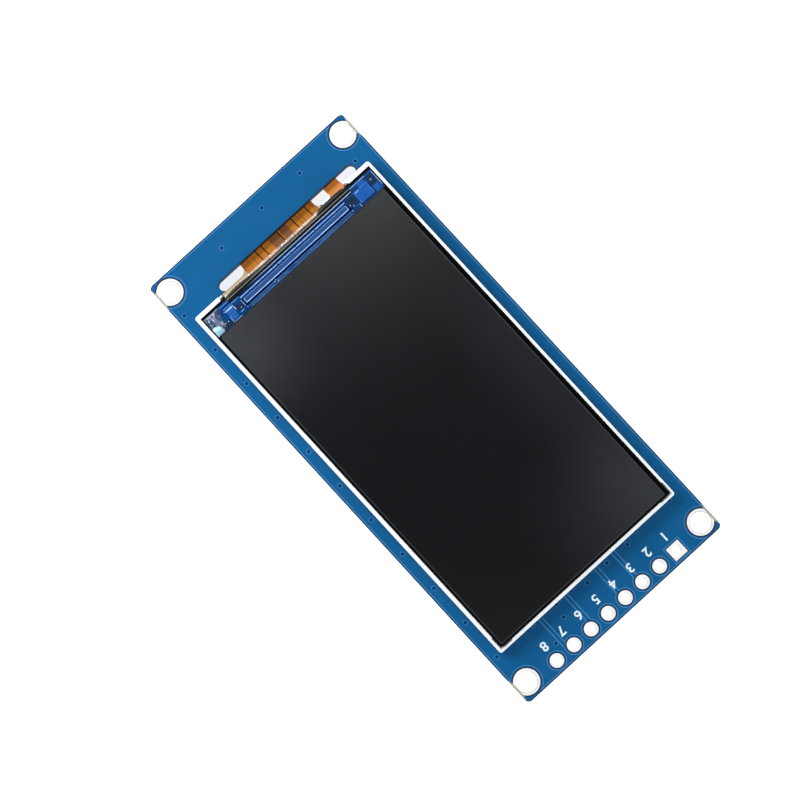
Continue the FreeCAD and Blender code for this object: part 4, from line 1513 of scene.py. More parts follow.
def paired(boxes):
    """Boxes close together in one line along Y, put together, so that a part's two ends count as one."""
    reach = board_settings().part_reach
    pairs = []
    for low, high in sorted(boxes, key=lambda corners: (round(corners[0].x, 1), corners[0].y)):
        if pairs and abs(pairs[-1][0].x - low.x) < SAME_LINE and low.y - pairs[-1][1].y < reach:
            first_low, first_high = pairs[-1]
            pairs[-1] = (
                Vector([min(ends) for ends in zip(first_low, low)]),
                Vector([max(ends) for ends in zip(first_high, high)]),
            )
        else:
            pairs.append((low, high))
    return pairs


# Top of the left column of vias, and the vias apart from it, in millimetres
VIA_COLUMN = (-13.48, 26.0)
STRAY_VIAS = [
    (-5.42, 28.77), (0.83, 29.05), (6.50, 29.05), (11.92, 25.93), (-8.26, -24.86), (-4.78, -24.98),
    (-5.14, -26.54), (-0.71, -25.52), (-7.71, -28.07), (2.33, -25.36), (5.35, -25.40), (7.02, -24.88),
    (11.96, -24.94),
]


def via_places():
    """The left column and the others."""
    board = board_settings()
    x, y = VIA_COLUMN
    return [(x, y - index * board.via_pitch) for index in range(board.via_count)] + STRAY_VIAS


class DISPLAY_OT_board(bpy.types.Operator):
    """Dress the board: laminate core, mask and copper relief on both faces"""
    bl_idname = "display.board"
    bl_label = "Board"

    def execute(self, context):
        dress(["circuit_board"], "laminate")
        for name, mesh in (("front_mask", front_relief()), ("back_mask", back_relief())):
            level_faces_flat(mesh)
            place_piece(name, mesh, ["mask"])
        return {"FINISHED"}


class DISPLAY_OT_vias(bpy.types.Operator):
    """Filled vias on both faces"""
    bl_idname = "display.vias"
    bl_label = "Vias"

    def execute(self, context):
        board = board_settings()
        rings = ring_tree("Via rings")
        discs = disc_tree("Via holes")
        for side, z in (("front", BOARD_HIGH.z + board.pour_height), ("back", -board.pour_height)):
            points = [((x, y, z), ONE) for x, y in via_places()]
            name = side + "_via_rings"
            mesh = grow(name, rings, points, Ring_radius=board.via_ring, Wire_radius=board.via_wire)
            rounded(mesh)
            place_piece(name, mesh, ["via_ring"])
            name = side + "_via_holes"
            mesh = grow(name, discs, points, Radius=board.via_hole, Height=board.via_height)
            place_piece(name, mesh, ["via_hole"])
        return {"FINISHED"}


def text_mesh(body, size, thicken):
    """A short text as a mesh, centred, lying flat."""
    text = bpy.data.curves.new("digit", "FONT")
    text.body = body
    text.size = size
    text.align_x = "CENTER"
    text.align_y = "CENTER"
    text.bevel_depth = thicken
    text.bevel_resolution = 0
    mesh = evaluated_mesh(in_scene("digit", text))
    mesh.transform(Matrix.Scale(board_settings().print_height / thicken, 4, (0, 0, 1)))
    return cleaned(mesh, MERGE_FINE)


def line_frame(corners, gap_x, gap_y, width):
    """Outlines of a printed rectangle round a part: outer edge and inner edge."""
    return [
        box_points(*widened(corners, gap_x + width, gap_y + width))[::-1],
        box_points(*widened(corners, gap_x, gap_y)),
    ]


# Printed outlines from the parts: beside them, and past the ends of three-lead bodies and of chips
OUTLINE_GAP_X = 0.35
BODY_GAP_Y = 0.95
CHIP_GAP_Y = 0.6


class DISPLAY_OT_print(bpy.types.Operator):
    """White print: pin numbers on both faces, outlines of the parts on the back"""
    bl_idname = "display.white_print"
    bl_label = "White print"

    def execute(self, context):
        board = board_settings()
        front = []
        back = []
        lift = board.pour_height + board.print_lift
        front_place = Matrix.Translation((0, board.digit_y, BOARD_HIGH.z + lift))
        back_place = Matrix.Translation((0, board.digit_y, -lift))
        for index, x in enumerate(header_row()):
            digit = text_mesh(str(index + 1), board.digit_height, board.digit_weight)
            along = Matrix.Translation((x, 0, 0))
            digit.transform(along @ front_place @ Matrix.Rotation(math.pi, 4, "Z"))
            front.append(digit)
            mirrored = text_mesh(str(index + 1), board.digit_height * board.back_digit, board.back_weight)
            mirrored.transform(along @ back_place @ Matrix.Rotation(math.pi, 4, "Y"))
            back.append(mirrored)
        low = -board.pour_height - board.outline_lift
        high = -board.pour_height + board.print_edge
        boxes = [(box_mm(part + "_body"), BODY_GAP_Y) for part in THREE_LEADS]
        boxes += [(corners, CHIP_GAP_Y) for corners in chip_boxes()]
        for corners, gap_y in boxes:
            outline = line_frame(corners, OUTLINE_GAP_X, gap_y, board.outline_width)
            back.append(relief("outline", outline, low, high, board.print_edge))
        place_piece("front_print", joined("front_print", front), ["ink"])
        place_piece("back_print", joined("back_print", back), ["ink"])
        return {"FINISHED"}


class DISPLAY_OT_metalwork(bpy.types.Operator):
    """Pads, leads, terminals and solder"""
    bl_idname = "display.metalwork"
    bl_label = "Pads and solder"

    def execute(self, context):
        dress(["mounting_pads", "header_pads", "flex_contact_pads", "back_part_pads"], "tin")
        dress([part + "_leads" for part in THREE_LEADS] + [part + "_terminals" for part in CHIPS], "tin")
        dress(["flex_solder_joints", "lead_solder_joints", "chip_solder_joints"], "solder")
        self.lips(board_settings())
        return {"FINISHED"}

    def lips(self, board):
        """Fine rolled lips round the plated holes, on both faces."""
        rings = ring_tree("Hole lips")
        pad_low, pad_high = box_mm("mounting_pads")
        corners = [(x, y) for x in (-HOLE_X, HOLE_X) for y in (-HOLE_Y, HOLE_Y)]
        header = [(x, HEADER_Y) for x in header_row()]
        for name, places, radius, material in (
            ("mounting_hole_lips", corners, board.mount_hole, "pad_lip"),
            ("header_hole_lips", header, board.header_hole, "tin"),
        ):
            points = [((x, y, z), ONE) for x, y in places for z in (pad_low.z, pad_high.z)]
            mesh = grow(name, rings, points, Ring_radius=radius, Wire_radius=board.lip)
            rounded(mesh)
            place_piece(name, mesh, [material])


class DISPLAY_OT_back_parts(bpy.types.Operator):
    """Bodies of the small parts on the board's back"""
    bl_idname = "display.back_parts"
    bl_label = "Back parts"

    def execute(self, context):
        for part in THREE_LEADS:
            node = part + "_body"
            mesh = soft_copy(node, node + "_moulded", board_settings().part_bevel, 3)
            place_piece(node + "_moulded", mesh, ["moulded"], [node])
        dress(["capacitor_bodies"], "capacitor")
        dress(["resistor_bodies"], "resistor")
        return {"FINISHED"}


# Backlight and panel

class DISPLAY_OT_backlight(bpy.types.Operator):
    """White frame, films, light guide and lamps"""
    bl_idname = "display.backlight"
    bl_label = "Backlight"

    def execute(self, context):
        mesh = soft_copy("backlight_frame", "moulded_rim", panel_settings().rim_bevel, 3)
        place_piece("moulded_rim", mesh, ["rim"], ["backlight_frame"])
        dress(["mounting_tape"], "tape")
        dress(["reflector_film"], "reflector")
        dress(["light_guide"], "guide")
        dress(["diffuser_film", "lower_prism_film", "upper_prism_film"], "film")
        dress(["light_shield_tape"], "shield")
        dress(["backlight_leds"], "lamp")
        dress(["led_windows"], "phosphor")
        return {"FINISHED"}


def drawn_in(mesh, margin):
    """A plate's sides and lower end moved in, so that the glass under it shows as a black line."""
    middle = sum((vertex.co for vertex in mesh.vertices), Vector()) / len(mesh.vertices)
    for vertex in mesh.vertices:
        vertex.co.x -= math.copysign(margin, vertex.co.x - middle.x)
        if vertex.co.y < middle.y:
            vertex.co.y += margin
    return mesh


class DISPLAY_OT_panel(bpy.types.Operator):
    """Glasses with ground edges and the two polarizers"""
    bl_idname = "display.panel"
    bl_label = "Glass and polarizers"

    def execute(self, context):
        panel = panel_settings()
        rows = [
            ("array_glass", "lower_glass", "ledge", "panel_glass"),
            ("colour_filter_glass", "upper_glass", "dark_glass", "panel_glass"),
        ]
        for node, name, material, slot in rows:
            mesh = soft_copy(node, name, panel.glass_bevel, 2, 2)
            place_piece(name, mesh, [material, "glass_edge"], [node])
        mesh = soft_copy("front_polarizer", "front_face", panel.glass_bevel, 2, 2)
        mesh = drawn_in(mesh, panel.face_margin)
        place_piece("front_face", mesh, ["face", "face_edge"], ["front_polarizer"])
        dress(["rear_polarizer"], "face")
        return {"FINISHED"}


# Marks on the ledge: x from, x to, y from, y to, in millimetres from the corner of ledge and filter glass
BLUE_PADS = [
    (2.40, 3.38, 0.98, 1.46), (2.48, 3.32, 0.26, 0.86), (21.60, 23.46, 0.27, 1.76),
    (22.50, 23.35, 1.78, 2.24), (23.72, 24.30, 0.10, 0.88),
]
DARK_PADS = [
    (3.56, 4.50, 0.58, 1.40), (1.36, 2.32, 0.14, 0.82), (20.32, 21.40, 0.62, 1.72),
    (23.66, 24.56, 1.02, 2.14),
]
DARK_LINES = [
    (4.62, 4.80, 0.52, 1.46), (20.06, 20.22, 0.50, 1.46), (21.50, 23.60, 0.15, 0.25),
    (23.47, 23.60, 0.25, 1.70), (20.12, 20.48, 0.46, 0.82), (2.30, 2.40, 0.90, 1.70),
    (3.38, 3.45, 0.20, 1.50), (2.06, 3.30, 2.10, 2.20),
]
BRIGHT_LINES = [
    (2.38, 3.42, 1.50, 1.61), (21.66, 22.20, 1.59, 1.67), (3.46, 3.54, 1.00, 1.50),
    (3.76, 4.18, 0.44, 0.50), (2.20, 3.50, 1.62, 1.68), (21.30, 21.36, 0.05, 0.44),
    (2.41, 2.46, 0.10, 0.92), (4.52, 4.57, 0.66, 1.42), (21.50, 23.70, 2.38, 2.44),
    (24.62, 24.67, 0.40, 2.36), (2.55, 3.55, 0.08, 0.13),
]
SOFT_LINES = [
    (2.34, 4.68, 1.84, 1.93), (2.10, 3.36, 2.28, 2.36), (4.90, 20.30, 0.43, 0.48),
    (5.10, 20.20, 0.09, 0.13), (23.98, 24.03, 1.46, 1.82), (23.82, 24.19, 1.61, 1.66),
    (2.48, 3.34, 0.88, 0.92), (21.60, 23.46, 1.74, 1.78), (21.60, 21.64, 0.27, 1.76),
    (23.42, 23.46, 0.27, 1.76),
]
SPECKS = [
    (1.56, 0.60), (1.94, 0.57), (4.03, 0.77), (4.62, 0.34), (8.62, 0.42), (8.86, 0.47), (9.02, 0.20),
    (20.38, 0.96), (20.68, 0.70), (20.20, 0.32),
]

# The tracks' ends between filter glass and chip, in the same way
TRACK_ENDS = (0.15, 0.40)

# Marks by the chip, in the same order: its lower (0) or upper (1) side, and millimetres past that
CHIP_SHADOW = [
    ((0, -0.05), (1, 0.05), (0, -0.17), (0, -0.01)), ((0, -0.05), (1, 0.05), (1, 0.01), (1, 0.13)),
]
CHIP_DASHES = ((0, -0.15), (1, 0.10), (1, 0.22), (1, 0.33))
# Painted highlight lines along the chip's lower side and both ends, and below them a fainter painted
# highlight near its upper side
CHIP_EDGE_HIGHLIGHT = [
    ((0, 0.03), (1, -0.03), (0, 0.02), (0, 0.12)), ((1, -0.09), (1, -0.03), (0, 0.12), (1, -0.08)),
    ((0, 0.03), (0, 0.08), (0, 0.12), (1, -0.08)),
]
CHIP_UPPER_HIGHLIGHT = [((0, 0.06), (1, -0.06), (1, -0.13), (1, -0.09))]
CHIP_MARK_HEIGHT = 0.004

# Painted shade: a deep blue band from past the chip's ends and upper side to just before the flex
DEEP_SHADE_BAND = ((0, -0.3), (1, 0.5), (1, 0.36))
DEEP_SHADE_BAND_GAP = 0.04


def by_chip(row):
    """One mark by the chip as x from, x to, y from, y to on the ledge."""
    ends_x = (CHIP_LOW.x - GLASS_LOW.x, CHIP_HIGH.x - GLASS_LOW.x)
    ends_y = (CHIP_LOW.y - FILTER_HIGH.y, CHIP_HIGH.y - FILTER_HIGH.y)
    return tuple(ends[side] + past for ends, (side, past) in zip((ends_x, ends_x, ends_y, ends_y), row))


def blocks(name, rows, z, height, material):
    """Thin blocks over rows of places, as one piece."""
    points = []
    for x0, x1, y0, y1 in rows:
        middle = (GLASS_LOW.x + (x0 + x1) / 2, FILTER_HIGH.y + (y0 + y1) / 2, z + height / 2)
        points.append((middle, (x1 - x0, y1 - y0, 1.0)))
    place_piece(name, grow(name, strip_tree(name), points, Height=height), [material])


def dashes(x0, x1, y0, y1):
    """A broken line with uneven runs and gaps."""
    shuffle = random.Random(7)
    run = (0.5, 2.6)
    gap = (0.03, 0.12)
    rows = []
    x = x0
    while x < x1:
        end = min(x1, x + shuffle.uniform(*run))
        rows.append((x, end, y0, y1))
        x = end + shuffle.uniform(*gap)
    return rows


class DISPLAY_OT_ledge(bpy.types.Operator):
    """Driver chip, tracks and marks on the bare ledge of the lower glass"""
    bl_idname = "display.ledge"
    bl_label = "Ledge"

    def execute(self, context):
        panel = panel_settings()
        mesh = soft_copy("driver_chip", "bare_chip", panel.chip_bevel, 2)
        place_piece("bare_chip", mesh, ["chip"], ["driver_chip"])
        self.marks(panel)
        # Painted highlights on the chip's top, along its edges.
        for name, rows, material in (
            ("chip_seal_ring", CHIP_EDGE_HIGHLIGHT, "pale_track"), ("chip_upper_line", CHIP_UPPER_HIGHLIGHT, "soft_track"),
        ):
            rows = [by_chip(row) for row in rows]
            blocks(name, rows, CHIP_HIGH.z, CHIP_MARK_HEIGHT, material)
        return {"FINISHED"}

    def marks(self, panel):
        """Pads, lines and fine tracks on the glass round the chip, each layer with its height."""
        first = CHIP_LOW.x - GLASS_LOW.x + panel.track_inset
        pitch = (CHIP_HIGH.x - CHIP_LOW.x - 2 * panel.track_inset) / (panel.track_count - 1)
        half = panel.track_width / 2
        places = [first + pitch * index for index in range(panel.track_count)]
        tracks = [(x - half, x + half, *TRACK_ENDS) for x in places]
        shadow = [by_chip(row) for row in CHIP_SHADOW]
        band_end = FLEX_LOW.y - FILTER_HIGH.y - DEEP_SHADE_BAND_GAP
        bright = BRIGHT_LINES + dashes(*by_chip(CHIP_DASHES))
        specks = [(x, x + panel.speck, y, y + panel.speck) for x, y in SPECKS]
        for name, rows, height, material in (
            ("ledge_tracks", tracks, panel.track_height, "track"),
            ("ledge_dark_lines", DARK_LINES + shadow, 0.005, "navy"),
            # Painted shade: the deep band before the flex's edge.
            ("ledge_deep_band", [(*by_chip(DEEP_SHADE_BAND), band_end)], 0.005, "deep_blue"),
            ("ledge_dark_pads", DARK_PADS, 0.006, "dark_pad"),
            ("ledge_blue_pads", BLUE_PADS, 0.007, "blue_pad"),
            ("ledge_soft_lines", SOFT_LINES, 0.009, "soft_track"),
            ("ledge_bright_lines", bright, 0.010, "pale_track"),
            ("ledge_specks", specks, 0.012, "speck"),
        ):
            blocks(name, rows, GLASS_HIGH.z, height, material)


# Flexes

BEND_STEPS = 14


def flex_path(y_bend, z_high, offset, start_y, end_y):
    """Side view of a flex, offset from its middle line: level, down through the slot, level again."""
    flex = flex_settings()
    board = board_settings()
    radius = flex.bend_radius
    land_y = RIM_HIGH.y + board.slot_gap + board.slot_width - flex.slot_clearance
    z_tail = FLEX_LOW.z + flex.thickness / 2
    across = land_y - y_bend
    down = z_high - z_tail - 2 * radius
    straight = math.sqrt(across ** 2 + down ** 2 - (2 * radius) ** 2)
    turn = math.atan2(down, across) + math.atan2(2 * radius, straight)
    steps = BEND_STEPS
    points = [(start_y, z_high + offset)]
    for index in range(steps + 1):
        here = turn * index / steps
        reach = radius + offset
        points.append((y_bend + reach * math.sin(here), z_high - radius + reach * math.cos(here)))
    for index in range(steps + 1):
        here = turn * (1 - index / steps)
        reach = radius - offset
        points.append((land_y - reach * math.sin(here), z_tail + radius - reach * math.cos(here)))
    points.append((end_y, z_tail + offset))
    return points


def path_object(points):
    """A line of edges along a side view, to be taken away again."""
    mesh = bpy.data.meshes.new("path")
    vertices = [(0, y, z) for y, z in points]
    mesh.from_pydata(vertices, [(index, index + 1) for index in range(len(vertices) - 1)], [])
    return in_scene("path", mesh)


# Edges of the copper stretches across the display flex's finger, in millimetres from its middle
BRIGHT_STRETCHES = [
    (-5.22, -5.00), (-4.97, -4.72), (-4.69, -4.42), (-4.38, -3.78), (-3.73, -3.13), (-2.98, -2.27),
    (-2.12, -1.14), (0.27, 0.44), (1.46, 2.21), (2.36, 2.86), (2.92, 3.30), (3.34, 4.21), (4.36, 4.92),
    (4.98, 5.22),
]
DULL_STRETCHES = [(-1.12, 0.10), (0.46, 1.44)]
TAIL_STRETCHES = [(-0.88, 0.88)]


def copper_strips(name, stretches, centre, side_view, material):
    """Copper under a flex's film: one strip for each stretch, following the flex's bends."""
    path = path_object(side_view)
    points = []
    for x0, x1 in stretches:
        points.append(((centre + (x0 + x1) / 2, 0, 0), (x1 - x0, 1.0, 1.0)))
    mesh = grow(name, ribbon_tree(name), points, Path=path, Height=flex_settings().relief)
    bpy.data.objects.remove(path)
    rounded(mesh, 30)
    place_piece(name, cleaned(mesh), [material])


class DISPLAY_OT_flexes(bpy.types.Operator):
    """Both flexes: film, copper under it and the bare contacts at their ends"""
    bl_idname = "display.flexes"
    bl_label = "Flexes"

    def execute(self, context):
        flex = flex_settings()
        dress(["display_flex"], "flex_film")
        dress(["backlight_flex"], "tail_film")
        bend_y = GLASS_HIGH.y + flex.bend_start
        z_high = GLASS_HIGH.z + flex.thickness / 2
        offset = flex.thickness / 2 + flex.relief / 2
        front = flex_path(bend_y, z_high, offset, bend_y - flex.copper_start, FLEX_HIGH.y - flex.copper_end)
        for name, stretches, material in (
            ("display_flex_copper", BRIGHT_STRETCHES, "flex_copper"),
            ("display_flex_dull_copper", DULL_STRETCHES, "dull_copper"),
        ):
            copper_strips(name, stretches, flex.centre_x, front, material)
        bend_y = RIM_HIGH.y - flex.tail_bend
        z_high = TAIL_HIGH.z - flex.thickness / 2
        tail = flex_path(bend_y, z_high, offset, bend_y - flex.tail_start, TAIL_HIGH.y - flex.copper_end)
        copper_strips("backlight_flex_copper", TAIL_STRETCHES, tail_middle(), tail, "tail_copper")
        self.contacts(flex)
        return {"FINISHED"}

    def contacts(self, flex):
        """Bare tinned contacts on the flexes' ends, in line with the board's pads."""
        points = []
        z = FLEX_LOW.z - flex.contact_drop
        for low, high in islands("flex_contact_pads"):
            middle = ((low.x + high.x) / 2, low.y + flex.contact_place, z)
            points.append((middle, (high.x - low.x, flex.contact_length, 1.0)))
        mesh = grow("flex_contacts", strip_tree("Flex contacts"), points, Height=flex.contact_height)
        place_piece("flex_contacts", mesh, ["tin"])


def tail_middle():
    """Middle of the backlight flex's tail, from its last contacts."""
    contacts = islands("flex_contact_pads")
    last = sorted(contacts, key=lambda corners: corners[0].x)[-2:]
    return (last[0][0].x + last[1][1].x) / 2


def swell(x):
    """How far the bead bulges over the bend: a low rise near its left end, a flat lump near its right."""
    flex = flex_settings()
    flatness = 6
    left = math.exp(-((x - BEAD_LOW.x - flex.left_place) / flex.left_half) ** 2)
    right = math.exp(-((x - BEAD_HIGH.x + flex.lump_back) / flex.lump_half) ** flatness)
    return left * flex.left_swell + right * flex.right_swell


def bead_width(x, full_end, drift):
    """Way that the bead covers from its foot over the flex's bend."""
    flex = flex_settings()
    past_bend = 0.03
    unevenness = 0.02
    at_end = 0.72
    plain = GLASS_HIGH.y + flex.bend_start - FLEX_LOW.y - flex.bead_foot
    return (plain + past_bend + swell(x) + unevenness * drift) * (at_end + (1 - at_end) * full_end)


def bead_mesh():
    """Black bead: a domed strip from the flex's edge over and round its bend, closed at both ends."""
    flex = flex_settings()
    shuffle = random.Random(11)
    stations = 160
    around = 16
    span = 6
    spare = 4
    apart = 3
    end_share = 1 / 60
    least, unevenness = 0.94, 0.08
    at_end = 0.12
    dome = 0.7
    lift, sink = 0.002, 0.004
    crest_at = flex.crest_way - flex.bead_foot
    wobble = [shuffle.uniform(-1, 1) for _ in range(stations // span + spare)]
    foot_y = FLEX_LOW.y + flex.bead_foot
    bend_y = GLASS_HIGH.y + flex.bend_start
    top_z = GLASS_HIGH.z + flex.thickness
    outer = flex.bend_radius + flex.thickness / 2

    def drift(index):
        """Smoothly changing unevenness along the bead."""
        whole, share = divmod(index / span, 1)
        return wobble[int(whole)] * (1 - share) + wobble[int(whole) + 1] * share

    def base(reach):
        """Point and outward direction on the flex, by the way covered from the bead's foot."""
        if reach < bend_y - foot_y:
            return Vector((0, foot_y + reach, top_z)), Vector((0, 0, 1))
        turn = (reach - (bend_y - foot_y)) / outer
        way = Vector((0, math.sin(turn), math.cos(turn)))
        return Vector((0, bend_y, top_z - outer)) + way * outer, way

    vertices = []
    ways = []
    faces = []
    ring_size = 2 * (around + 1)
    for index in range(stations + 1):
        share = index / stations
        x = BEAD_LOW.x - flex.bead_past + (BEAD_HIGH.x - BEAD_LOW.x + 2 * flex.bead_past) * share
        near_end = min(1.0, min(share, 1 - share) / end_share)
        full_end = math.sqrt(max(0.0, 1 - (1 - near_end) ** 2))
        width = bead_width(x, full_end, drift(index))
        height = flex.bead_height * (least + unevenness * drift(index + apart))
        height *= at_end + (1 - at_end) * full_end
        for step in range(around + 1):
            part = step / around
            point, way = base(width * part)
            point = point + way * (height * math.sin(math.pi * part) ** dome + lift)
            vertices.append((x, point.y, point.z))
            ways.append(width * part - crest_at)
        for step in range(around, -1, -1):
            point, way = base(width * step / around)
            point = point - way * sink
            vertices.append((x, point.y, point.z))
            ways.append(width * step / around - crest_at)
        if index:
            start = index * ring_size
            for step in range(ring_size):
                after = (step + 1) % ring_size
                before = start - ring_size
                faces.append((before + step, before + after, start + after, start + step))
    faces.append(tuple(reversed(range(ring_size))))
    faces.append(tuple(range(len(vertices) - ring_size, len(vertices))))
    mesh = bpy.data.meshes.new("bead")
    mesh.from_pydata(vertices, [], faces)
    mesh.attributes.new("way", "FLOAT", "POINT").data.foreach_set("value", ways)
    return cleaned(mesh, MERGE_FINE)


# Black lumps at the notch's ends, painted shade for the dark gaps beside the bead's ends: centre, from the
# glass's edge along Y and Z, and half sizes
SHADE_LUMPS = [
    ((BEAD_LOW.x - 0.42, 0.28, -0.04), (0.36, 0.29, 0.15)),
    ((BEAD_HIGH.x + 0.28, 0.24, -0.04), (0.46, 0.24, 0.16)),
]


def shade_lump_meshes():
    """Flattened black lumps beside the bead's ends, painted shade for the dark gaps there."""
    meshes = []
    for (x, y, z), size in SHADE_LUMPS:
        work = bmesh.new()
        bmesh.ops.create_icosphere(work, subdivisions=3, radius=1)
        mesh = bpy.data.meshes.new("lump")
        work.to_mesh(mesh)
        work.free()
        centre = Vector((x, GLASS_HIGH.y + y, GLASS_HIGH.z + z))
        mesh.transform(Matrix.Translation(centre) @ Matrix.Diagonal((*size, 1)))
        meshes.append(mesh)
    return meshes


# The sealant's lumps, in shares of its size: range of place along X and Y, of radius and of strength
LUMP_RANGES = [(0.15, 0.8), (0.12, 0.9), (0.12, 0.28), (0.3, 1)]
LUMP_COUNT = 9

# The drop's margins inside its box, along X and Y: at its lower and at its upper side, in millimetres
DROP_LOW = Vector((0.02, 0.01, 0))
DROP_HIGH = Vector((0.02, 0.02, 0))


def drop_reach(v):
    """Share of the width that the drop takes: narrow at the flex's side, wide at the other, a little wavy."""
    narrow, growth, growing = 0.48, 0.46, 0.8
    wave, waves = 0.03, 9
    return narrow + growth * v ** growing + wave * math.sin(waves * v)


def drop_height(u, v, lumps):
    """Share of the drop's height at a place in it: steep sides, lower to the right, with lumps."""
    steep = 4
    left, fall = 0.55, 0.25
    lump_height, lump_fall = 0.4, 2.2
    edge = math.sqrt(max(0.0, (1 - (2 * u - 1) ** steep) * (1 - (2 * v - 1) ** steep)))
    shape = left - fall * u
    for x, y, radius, strength in lumps:
        away = ((u - x) ** 2 + (v - y) ** 2) / radius ** 2
        shape += lump_height * strength * math.exp(-away * lump_fall)
    return min(1.0, shape * edge)


def sealant_mesh():
    """Clear lumpy drop over the ledge's corner."""
    shuffle = random.Random(5)
    lumps = [[shuffle.uniform(*span) for span in LUMP_RANGES] for _ in range(LUMP_COUNT)]
    count = 44
    rim, base = 0.002, 0.0005
    low = SEALANT_LOW + DROP_LOW
    size = SEALANT_HIGH - DROP_HIGH - low
    vertices = []
    for row in range(count + 1):
        for column in range(count + 1):
            u = column / count
            v = row / count
            height = rim + drop_height(u, v, lumps) * flex_settings().sealant_height
            vertices.append((low.x + size.x * u * drop_reach(v), low.y + size.y * v, low.z + height))
    top = len(vertices)
    vertices += [(x, y, low.z + base) for x, y, _ in vertices]
    faces = []
    wide = count + 1
    for row in range(count):
        for column in range(count):
            here = row * wide + column
            quad = (here, here + 1, here + wide + 1, here + wide)
            faces.append(quad)
            faces.append(tuple(top + corner for corner in reversed(quad)))
    for step in range(count):
        bottom = (step + 1, step)
        upper = (count * wide + step, count * wide + step + 1)
        left = (step * wide, (step + 1) * wide)
        right = ((step + 1) * wide + count, step * wide + count)
        for first, second in (bottom, upper, left, right):
            faces.append((first, second, top + second, top + first))
    mesh = bpy.data.meshes.new("sealant")
    mesh.from_pydata(vertices, [], faces)
    return cleaned(mesh, MERGE_FINEST)


class DISPLAY_OT_bonding(bpy.types.Operator):
    """Black bead over the flex joint and the clear sealant in the ledge's corner"""
    bl_idname = "display.bonding"
    bl_label = "Bead and sealant"

    def execute(self, context):
        mesh = bead_mesh()
        rounded(mesh, 60)
        place_piece("rounded_bead", mesh, ["bead"], ["bond_bead"])
        # Black lumps as painted shade at the notch's ends.
        lumps = joined("bead_lumps", shade_lump_meshes())
        rounded(lumps, 60)
        place_piece("bead_lumps", lumps, ["resin"])
        mesh = sealant_mesh()
        rounded(mesh, 60)
        place_piece("lumpy_sealant", mesh, ["sealant"], ["corner_sealant"])
        return {"FINISHED"}


# Stage

SKY_COLOUR = (0.97, 0.985, 1.0, 1)
FLOOR_COLOUR = (0.86, 0.86, 0.86, 1)
WHITE = (1, 1, 1, 1)

# Lights: name, place, target, size in millimetres and the setting with its power
LIGHTS = [
    ("key", (-65, 162, 120), (0, 0, 0), (200, 150), "key_power"),
    ("fill", (60, -170, 110), (0, -10, 0), (200, 120), "fill_power"),
]


def area_light(name, place, target, size, power):
    """A soft rectangular light, places in millimetres."""
    light = bpy.data.lights.new(name, "AREA")
    light.shape = "RECTANGLE"
    light.size = size[0] * MM
    light.size_y = size[1] * MM
    light.energy = power
    obj = in_scene(name, light)
    where = Vector(place)
    obj.location = where * MM
    obj.rotation_euler = (Vector(target) - where).to_track_quat("-Z", "Y").to_euler()


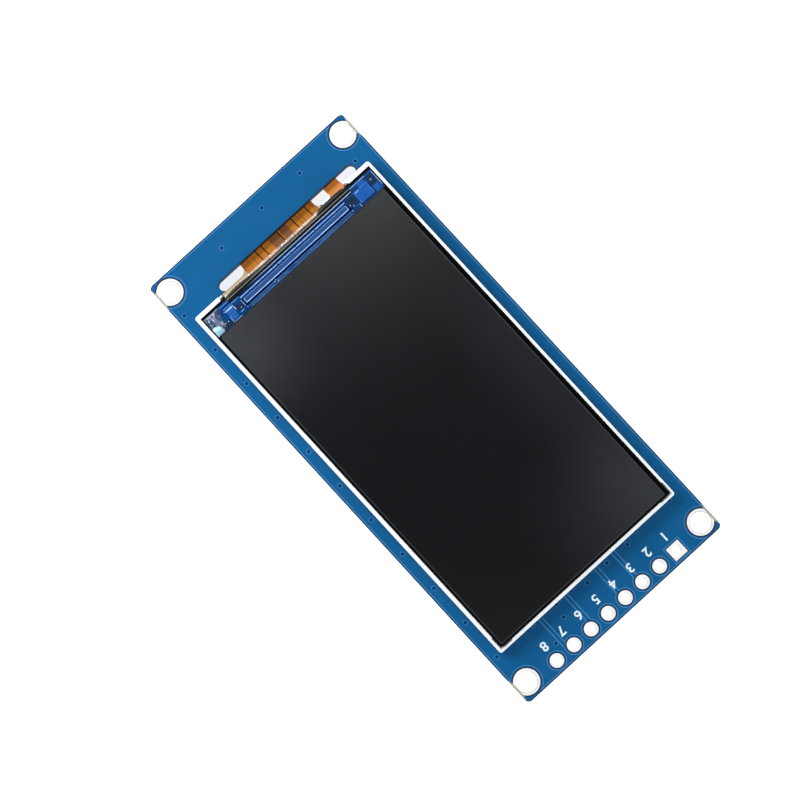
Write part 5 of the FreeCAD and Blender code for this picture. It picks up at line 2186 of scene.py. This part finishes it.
class DISPLAY_OT_stage(bpy.types.Operator):
    """Camera, soft lights and the pale floor"""
    bl_idname = "display.stage"
    bl_label = "Stage"

    def execute(self, context):
        stage = context.scene.display_stage
        self.camera(stage)
        self.lights(stage)
        self.floor(stage)
        bpy.context.scene.view_settings.view_transform = "Standard"
        return {"FINISHED"}

    def camera(self, stage):
        """Long lens, almost straight above, turned as the module lies in the picture."""
        data = bpy.data.cameras.new("camera")
        data.lens = stage.lens
        data.sensor_width = stage.sensor
        data.clip_start = 0.01
        data.clip_end = 20
        lean = Vector((stage.tilt_x, stage.tilt_y, 0))
        axes = Matrix.Rotation(lean.length, 3, lean) @ Matrix.Rotation(stage.turn, 3, "Z")
        back = axes.transposed()
        place = back @ Vector((-stage.shift_x, -stage.shift_y, stage.distance))
        place.z += BOARD_HIGH.z
        camera = in_scene("camera", data)
        camera.matrix_world = Matrix.Translation(place * MM) @ back.to_4x4()
        bpy.context.scene.camera = camera

    def lights(self, stage):
        """Walls of light past both ends; light all round, dimmer straight above."""
        for name, place, target, size, power in LIGHTS:
            area_light(name, place, target, size, getattr(stage, power))
        world = bpy.data.worlds.new("surroundings")
        world.use_nodes = True
        tree = world.node_tree
        background = tree.nodes["Background"]
        background.inputs["Color"].default_value = SKY_COLOUR
        direction = add(tree, "ShaderNodeTexCoord")
        parts = add(tree, "ShaderNodeSeparateXYZ", {"Vector": direction.outputs["Generated"]})
        strength = ranged(tree, parts.outputs["Z"], stage.dim_from, stage.dim_to, stage.sky, stage.overhead)
        feed(tree, background.inputs["Strength"], strength)
        bpy.context.scene.world = world

    def floor(self, stage):
        """A wide pale floor at the height of the module's lowest point."""
        half = stage.floor_size / 2
        z = CAD_BOUNDS[0].z / MM
        mesh = bpy.data.meshes.new("floor")
        corners = [(x, y, z) for x, y in box_points(-half, half, -half, half)]
        mesh.from_pydata(corners, [], [(0, 1, 2, 3)])
        to_metres(mesh)
        material, _, shader = new_material("pale_floor")
        shader.inputs["Base Color"].default_value = FLOOR_COLOUR
        shader.inputs["Roughness"].default_value = stage.floor_roughness
        shader.inputs["Emission Color"].default_value = WHITE
        shader.inputs["Emission Strength"].default_value = stage.floor_glow
        mesh.materials.append(material)
        in_scene("floor", mesh)


# Panel in the sidebar

OPERATORS = [
    DISPLAY_OT_stage, DISPLAY_OT_board, DISPLAY_OT_vias, DISPLAY_OT_print, DISPLAY_OT_metalwork,
    DISPLAY_OT_back_parts, DISPLAY_OT_backlight, DISPLAY_OT_panel, DISPLAY_OT_ledge, DISPLAY_OT_flexes,
    DISPLAY_OT_bonding,
]


class DISPLAY_PT_module(bpy.types.Panel):
    """Sizes, colours and the steps that make the pieces"""
    bl_idname = "DISPLAY_PT_module"
    bl_label = "Display module"
    bl_space_type = "VIEW_3D"
    bl_region_type = "UI"
    bl_category = "Display module"

    def draw(self, context):
        layout = self.layout
        for operator in OPERATORS:
            layout.operator(operator.bl_idname)
        for name, group in SETTINGS.items():
            section = layout.box()
            section.label(text=group.__doc__)
            for key in group.__annotations__:
                section.prop(getattr(context.scene, name), key)


def register():
    for group in SETTINGS.values():
        for key, setting in group.__annotations__.items():
            setting.keywords["name"] = key.replace("_", " ").capitalize()
        bpy.utils.register_class(group)
    for name, group in SETTINGS.items():
        setattr(bpy.types.Scene, name, PointerProperty(type=group))
    for operator in OPERATORS:
        bpy.utils.register_class(operator)
    bpy.utils.register_class(DISPLAY_PT_module)


def unregister():
    bpy.utils.unregister_class(DISPLAY_PT_module)
    for operator in reversed(OPERATORS):
        bpy.utils.unregister_class(operator)
    for name, group in SETTINGS.items():
        delattr(bpy.types.Scene, name)
        bpy.utils.unregister_class(group)


def main():
    register()
    for operator in OPERATORS:
        group, name = operator.bl_idname.split(".")
        getattr(getattr(bpy.ops, group), name)()


if __name__ == "__main__":
    main()
